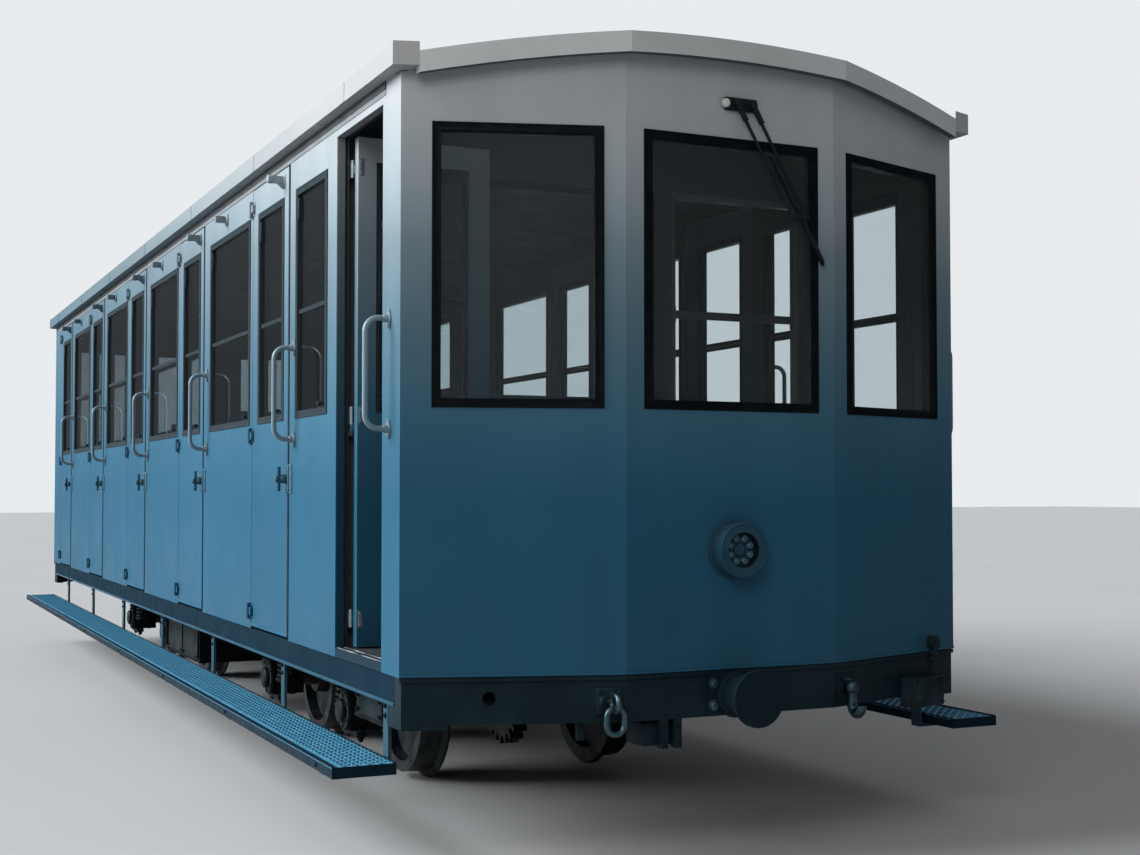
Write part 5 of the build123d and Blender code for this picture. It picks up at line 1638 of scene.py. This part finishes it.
def axle_cover():
    """Axlebox cover about the origin, facing -Y: flange with six bolts and domed cap."""
    flange = rod("flange", 0.080, 0.010, (0, -0.003, 0), "y", 40)
    flange = soften(flange, 0.002, 2)
    cap = rod("cap", 0.052, 0.020, (0, -0.014, 0), "y", 36)
    step_face(cap, looking("y", -1), (0.012, (0, -0.008, 0)))
    bolts = [moved(facing_bolt("bolt", 0.066 * math.cos(a), 0.066 * math.sin(a), 0.0070, 0.007),
                   shift(y=-0.007))
             for a in (math.radians(30 + 60 * n) for n in range(6))]
    return join("cover", [flange, soften(cap, 0.003, 2), *bolts])


def box_strap():
    """Keeper strap under an axlebox with its two bolts, drawn facing -Y."""
    strap = soften(block("strap", (-0.105, 0.105), (-0.018, 0.030), (-0.102, -0.078)), 0.004, 2)
    bolts = []
    for x in (-0.090, 0.090):
        bolts.append(soften(rod("stud", 0.009, 0.050, (x, 0.006, -0.100), "z", 16), 0.002, 1))
        bolts.append(soften(rod("nut", 0.016, 0.014, (x, 0.006, -0.109), "z", 6), 0.002, 1))
    return join("strap", [strap, *bolts])


def coil_spring():
    """Coil spring with its two seats, standing at the origin."""
    coils = []
    for turn in range(5):
        bpy.ops.object.select_all(action="DESELECT")
        bpy.ops.mesh.primitive_torus_add(major_radius=0.036, minor_radius=0.0085, major_segments=28,
                                         minor_segments=10, location=(0, 0, -0.050 + 0.025 * turn),
                                         rotation=(math.radians(8), 0, 0))
        coils.append(smooth(named("coil"), 80))
    for z in (-0.068, 0.066):
        coils.append(soften(rod("seat", 0.050, 0.012, (0, 0, z), "z", 28), 0.002, 1))
    coils.append(smooth(rod("spindle", 0.012, 0.130, (0, 0, 0), "z", 14)))
    return join("spring", coils)


SHOE_GAP = 0.009
SHOE_THICK = 0.045
SHOE_HALF = math.radians(23)


SHOE_X = 0.4475                 # over a wheel's tread, beside its flange


def brake_shoe():
    """Curved shoe with its hanger and pin, at +Y of a wheel whose axle is at the origin."""
    radius = TREAD_RADIUS + SHOE_GAP + SHOE_THICK / 2
    start = (SHOE_X, radius * math.cos(SHOE_HALF), radius * math.sin(SHOE_HALF))
    shoe = spun("shoe", (0.085, SHOE_THICK), start, (SHOE_HALF, 0, 0), (1, 0, 0), (SHOE_X, 0, 0),
                -2 * SHOE_HALF, 10)
    hanger = soften(block("hanger", (0.440, 0.456), (radius - 0.004, radius + 0.034), (-0.020, 0.140)),
                    0.003, 2)
    pin = soften(rod("pin", 0.012, 0.060, (0.448, radius + 0.018, 0.0), "x", 16), 0.002, 1)
    return join("brake_shoe", [shoe, hanger, pin])


def bogies():
    """Covers, straps, springs, brakes and frame flanges of both bogies."""
    cover, strap, spring, shoe = axle_cover(), box_strap(), coil_spring(), brake_shoe()
    for bogie in ("front", "rear"):
        body = f"bogie_{bogie}"
        covers, springs, shoes, straps = [], [], [], []
        low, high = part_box(body)
        middle = (low.y + high.y) / 2
        for axle in (1, 2):
            first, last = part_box(f"wheelset_{bogie}_{axle}")
            y, z = (first.y + last.y) / 2, (first.z + last.z) / 2
            for _, side in SIDES:
                covers.append(copy_to(cover, "cover", on_wall(FACING[side], side * COVER_FACE, y, z)))
                straps.append(copy_to(strap, "strap", on_wall(FACING[side], side * BOX_OUT, y, z)))
                inwards = 1 if y < middle else -1
                for dy in (-SPRING_ALONG, SPRING_ALONG):
                    springs.append(copy_to(spring, "spring", shift(side * SPRING_X, y + dy, z + 0.075)))
                flip = Matrix.Diagonal((side, inwards, 1, 1))
                shoes.append(copy_to(shoe, "shoe", shift(0, y, z) @ flip))
        seats = []
        for _, side in SIDES:
            for axle in (1, 2):
                first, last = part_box(f"wheelset_{bogie}_{axle}")
                y, z = (first.y + last.y) / 2, (first.z + last.z) / 2
                # the wings stop inside the axlebox's walls, clear of the turning journal
                for ahead in (-1, 1):
                    wing_y = sorted(y + ahead * reach for reach in WING_ALONG)
                    seats.append(soften(block("wing", sorted(side * x for x in WING_X), wing_y,
                                              (z - 0.012, z + 0.004)), 0.003, 1))
                seats.append(soften(block("head", sorted(side * x for x in HEAD_X),
                                          (y - WING_ALONG[1], y + WING_ALONG[1]),
                                          (z + 0.148, z + 0.164)), 0.003, 1))
            flange_x = sorted((side * (BOGIE_FRAME[0] - 0.014), side * (BOGIE_FRAME[1] + 0.022)))
            for flange_z in BOGIE_FRAME_Z:
                edge = soften(block("flange", flange_x, (low.y + 0.004, high.y - 0.004),
                                    (flange_z - 0.008, flange_z + 0.006)), 0.002, 1)
                seats.append(edge)
        fit(join(f"{body}_axle_covers", covers), body, "running_gear", BOX_COVER)
        fit(join(f"{body}_keepers", straps), body, "running_gear", BOX_COVER)
        fit(join(f"{body}_springs", springs), body, "running_gear", SPRING_STEEL)
        fit(join(f"{body}_brakes", shoes), body, "running_gear")
        fit(join(f"{body}_frame_flanges", seats), body, "running_gear")
    for piece in (cover, strap, spring, shoe):
        discard(piece)


def pipe(name, radius, points):
    """A pipe that runs from point to point with elbows between."""
    pieces = []
    for a, b in zip(points, points[1:]):
        a, b = Vector(a), Vector(b)
        span = b - a
        bpy.ops.object.select_all(action="DESELECT")
        bpy.ops.mesh.primitive_cylinder_add(vertices=14, radius=radius, depth=span.length,
                                            location=(a + b) / 2,
                                            rotation=span.to_track_quat("Z", "Y").to_euler())
        pieces.append(smooth(named("run")))
    for point in points[1:-1]:
        bpy.ops.object.select_all(action="DESELECT")
        bpy.ops.mesh.primitive_uv_sphere_add(segments=14, ring_count=8, radius=radius * 1.25, location=point)
        pieces.append(smooth(named("elbow"), 80))
    return join(name, pieces)


def underfloor():
    """Brake pipe, heating pipe, box lids and tank straps below the floor."""
    y0, y1 = FRONT + 0.40, REAR - 0.40
    z = SOLE_BOTTOM - 0.018
    runs = [pipe("brake_pipe", 0.014, [(0.930, y0, z), (0.930, y1, z)]),
            pipe("heating_pipe", 0.020, [(-0.960, y0 + 0.80, z), (-0.960, y1, z)]),
            pipe("branch", 0.010, [(0.930, -0.55, z), (0.700, -0.55, z), (0.700, -0.55, z - 0.060)])]
    for y in (-3.6, -2.0, -0.9, 0.9, 2.0, 3.6):
        for x in (0.930, -0.960):
            runs.append(soften(block("clip", (x - 0.026, x + 0.026), (y - 0.014, y + 0.014),
                                     (z - 0.026, SOLE_BOTTOM + 0.001)), 0.003, 1))
    fit(join("underfloor_pipes", runs), "car", "frame_paint", UNDERFRAME_GRIME_AND_SHADE)
    solids = sorted(islands("underfloor_gear"), key=lambda box: box[0].y)
    lids = []
    for low, high in solids:
        if (high - low).x < 0.27 and high.x > 0:
            continue
        face = low.x
        count = max(1, round((high.y - low.y) / 0.42))
        width = (high.y - low.y) / count
        for number in range(count):
            start = low.y + width * number
            lid = block("lid", (face - 0.010, face + 0.001), (start + 0.018, start + width - 0.018),
                        (low.z + 0.018, high.z - 0.030))
            step_face(lid, looking("x", -1), (0.022, (0.005, 0, 0)))
            lids.append(soften(lid, 0.002, 1))
            for dy in (0.034, width - 0.034):
                for dz in (0.034, high.z - low.z - 0.046):
                    lids.append(bolt("bolt", (face - 0.012, start + dy, low.z + dz), "x", 0.0065, 0.006))
    fit(join("equipment_lids", lids), "car", "frame_paint", LID_PAINT)
    low, high = next(box for box in solids if box[0].x > 0)
    radius = (high.z - low.z) / 2
    middle = ((low.x + high.x) / 2, 0, (low.z + high.z) / 2)
    straps = []
    for y in (low.y + 0.18, high.y - 0.18):
        band = rod("band", radius + 0.006, 0.045, (middle[0], y, middle[2]), "y", 40)
        hollow(band, looking("y"), 0.010)
        straps.append(soften(band, 0.0015, 1))
    for y, out in ((low.y, -1), (high.y, 1)):
        dome = rod("dome", radius - 0.006, 0.030, (middle[0], y + out * 0.013, middle[2]), "y", 40)
        scale_face(dome, looking("y", out), (0.80, 1, 0.80))
        straps.append(soften(dome, 0.010, 3))
    fit(join("reservoir_straps", straps), "car", "frame_paint", UNDERFRAME_GRIME_AND_SHADE)


# --- roof --------------------------------------------------------------------
ROOF_RADIUS = 5.450             # of the roof's arch
ROOF_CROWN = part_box("roof")[1].z
SEAM_PITCH = 1.158


def roof_seams():
    """Standing seams across the roof skin, spun along its arch."""
    crown = ROOF_CROWN
    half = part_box("roof")[1].x - 0.004
    angle = math.asin(half / ROOF_RADIUS)
    radius = ROOF_RADIUS + 0.003
    pieces = []
    for number in range(-3, 4):
        y = SEAM_PITCH * number
        middle = (-radius * math.sin(angle), y, crown - ROOF_RADIUS + radius * math.cos(angle))
        pieces.append(spun("seam", (0.009, 0.026), middle, (0, math.pi / 2 - angle, 0), (0, 1, 0),
                           (0, y, crown - ROOF_RADIUS), -2 * angle, 24))
    fit(join("roof_seams", pieces), "car", "roof_paint")


# --- roof edge ---------------------------------------------------------------
COVER_ALONG = tuple(-3.9 + 1.3 * number for number in range(7))


def roof_edges():
    """Gutter joint covers and stays; below the gutters a dark strip of painted shadow, and under it a grey strip
    of painted half-shade over the doors.
    """
    low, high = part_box("gutters")
    covers = []
    for y in COVER_ALONG:
        cover = block("cover", (low.x - 0.0015, low.x + 0.004), (y - 0.030, y + 0.030),
                      (low.z - 0.001, low.z + 0.067))
        step_face(cover, looking("x", -1), (0.003, (-0.0008, 0, 0)))
        covers.append(cover)
        stay = soften(block("stay", (low.x + 0.004, -BODY_HALF + 0.001), (y + 0.34, y + 0.365),
                            (low.z - 0.003, low.z + 0.001)), 0.001, 1)
        covers.append(stay)
    both_sides(join("gutter_covers", covers), "gutter_covers", "roof_paint", GUTTER)
    # painted shadow: a dark strip on the wall just below the gutter
    strip = soften(block("strip", (-BODY_HALF - 0.005, -BODY_HALF + 0.001),
                         (low.y + SETBACK, high.y - SETBACK),
                         (low.z - 0.029, low.z - 0.0005)), 0.002, 1)
    both_sides(strip, "gutter_shadow_strips", "roof_paint", GUTTER_SHADOW_PAINT)
    # painted half-shade: a grey strip below the painted shadow, over the door heads
    lip = soften(block("lip", (-BODY_HALF - 0.0025, -BODY_HALF + 0.001), (low.y + SETBACK, high.y - SETBACK),
                       (low.z - 0.046, low.z - 0.028)), 0.001, 1)
    both_sides(lip, "gutter_half_shade_strips", "body_paint", GUTTER_HALF_SHADE_PAINT)


# --- stage -------------------------------------------------------------------
CAMERA_PLACE = (-2.708, -9.090, 1.247)
CAMERA_YAW = math.radians(25.21)            # towards +X from +Y
CAMERA_PITCH = math.radians(1.81)
CAMERA_LENS = 48.85
CAMERA_SHIFT = 0.0117
WALL_DIRECTION = (0.42, 0.91, 0.0)          # towards the pale wall
WALL_EDGE = (0.84, 0.93)                    # cosine of the angle from it where it fades
DARK_DIRECTION = (-0.259, 0.964, 0.05)      # towards the dark corner the left windows reflect
DARK_EDGE = (0.920, 0.970)
DARK_SHARE = 0.45
ABOVE = (-0.28, -0.08, 0.957)               # the light from above leans left and forward
ABOVE_EDGE = (0.04, 0.60)                   # cosine of the angle from it where it grows
ROOM_DIM = (0.19, 0.03)                     # on the left and on the right
ROOM_ABOVE = 0.42
ROOM_BRIGHT = 1.05
ROOM_WALL = 0.80
ROOM_SEEN = 0.857                           # even backdrop, the same from every side
KEY_FROM = (-0.80, 0.35, 0.48)
KEY_STRENGTH = 9.4
KEY_SPREAD = math.radians(40)
PANEL_PLACE = (-3.4, -8.4, 4.4)
PANEL_SIZE = (2.4, 2.4)
PANEL_STRENGTH = 112.0


def camera():
    """The camera at the coach's left front, near waist height."""
    data = bpy.data.cameras.new("camera")
    data.lens = CAMERA_LENS
    data.sensor_width = 36.0
    data.shift_y = CAMERA_SHIFT
    holder = bpy.data.objects.new("camera", data)
    holder.location = CAMERA_PLACE
    holder.rotation_euler = (math.pi / 2 + CAMERA_PITCH, 0, -CAMERA_YAW)
    bpy.context.scene.collection.objects.link(holder)
    bpy.context.scene.camera = holder
    bpy.context.scene.view_settings.view_transform = "Standard"


def room():
    """Light from above, a pale wall behind the coach and dim ones round it; an even backdrop."""
    world = bpy.data.worlds.new("room")
    world.use_nodes = True
    tree = world.node_tree
    shade = tree.nodes["Background"]
    shade.inputs["Color"].default_value = (0.95, 0.975, 1.0, 1.0)

    def link(kind, *values, **settings):
        """A world node with its inputs set in order, or linked where a socket is given."""
        made = tree.nodes.new(kind)
        for key, value in settings.items():
            setattr(made, key, value)
        for socket, value in zip(made.inputs, values):
            if isinstance(value, bpy.types.NodeSocket):
                tree.links.new(value, socket)
            elif value is not None:
                socket.default_value = value
        return made

    direction = tree.nodes.new("ShaderNodeTexCoord").outputs["Generated"]

    def along_direction(vector, low, high, to_high=1.0):
        """Grows from 0 to to_high as the view turns towards a direction."""
        share = link("ShaderNodeVectorMath", direction, vector, operation="DOT_PRODUCT").outputs["Value"]
        return link("ShaderNodeMapRange", share, low, high, 0.0, to_high,
                    interpolation_type="SMOOTHSTEP").outputs[0]

    above = along_direction(ABOVE, *ABOVE_EDGE, ROOM_ABOVE)
    behind = along_direction(WALL_DIRECTION, *WALL_EDGE, ROOM_WALL)
    most = link("ShaderNodeMath", above, behind, operation="MAXIMUM").outputs[0]
    across = link("ShaderNodeSeparateXYZ", direction).outputs["X"]
    dim = link("ShaderNodeMapRange", across, -0.8, 0.8, *ROOM_DIM).outputs[0]
    corner = link("ShaderNodeMath", 1.0, along_direction(DARK_DIRECTION, *DARK_EDGE, DARK_SHARE),
                  operation="SUBTRACT").outputs[0]
    dim = link("ShaderNodeMath", dim, corner, operation="MULTIPLY").outputs[0]
    strength = link("ShaderNodeMapRange", most, 0.0, 1.0, dim, ROOM_BRIGHT).outputs[0]
    seen = tree.nodes.new("ShaderNodeLightPath").outputs["Is Camera Ray"]
    strength = link("ShaderNodeMix", seen, None, strength, ROOM_SEEN, data_type="FLOAT").outputs[0]
    tree.links.new(strength, shade.inputs["Strength"])
    bpy.context.scene.world = world


def lights():
    """A soft low key from behind on the left and a large dim panel at the front left."""
    key = bpy.data.lights.new("key", "SUN")
    key.energy = KEY_STRENGTH
    key.angle = KEY_SPREAD
    key.color = (0.97, 0.99, 1.0)
    holder = bpy.data.objects.new("key", key)
    holder.rotation_euler = Vector(KEY_FROM).to_track_quat("Z", "Y").to_euler()
    bpy.context.scene.collection.objects.link(holder)
    panel = bpy.data.lights.new("panel", "AREA")
    panel.shape = "RECTANGLE"
    panel.size, panel.size_y = PANEL_SIZE
    panel.energy = PANEL_STRENGTH
    panel.color = (1.0, 0.94, 0.88)
    holder = bpy.data.objects.new("panel", panel)
    holder.location = PANEL_PLACE
    aim = Vector(PANEL_PLACE) - Vector((0.0, FRONT, 2.0))
    holder.rotation_euler = aim.to_track_quat("Z", "Y").to_euler()
    bpy.context.scene.collection.objects.link(holder)


def ground():
    """A wide pale floor."""
    bpy.ops.object.select_all(action="DESELECT")
    bpy.ops.mesh.primitive_plane_add(size=160)
    floor = named("studio_floor")
    dress(ground_paint(), floor)


# --- build -------------------------------------------------------------------
def main():
    """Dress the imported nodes, add every fitting and set the stage."""
    dress_nodes()
    side_windows()
    end_windows()
    bulkhead_window()
    partition_doorway()
    door_fittings()
    grab_rail_feet()
    running_boards()
    body_edges()
    headlamp()
    wiper()
    for end_name, end in ENDS:
        buffer_fittings(end_name, end)
        draw_plates(end_name, end)
        beam_bracket(end_name, end)
    brake_cock()
    fit(join("air_elbow", [air_elbow()]), "car", "black_fittings", COCK_METAL)
    cab_doorways()
    benches()
    ceiling_fittings()
    driving_desk()
    window_cills()
    bogies()
    underfloor()
    roof_edges()
    roof_seams()
    camera()
    room()
    lights()
    ground()


main()
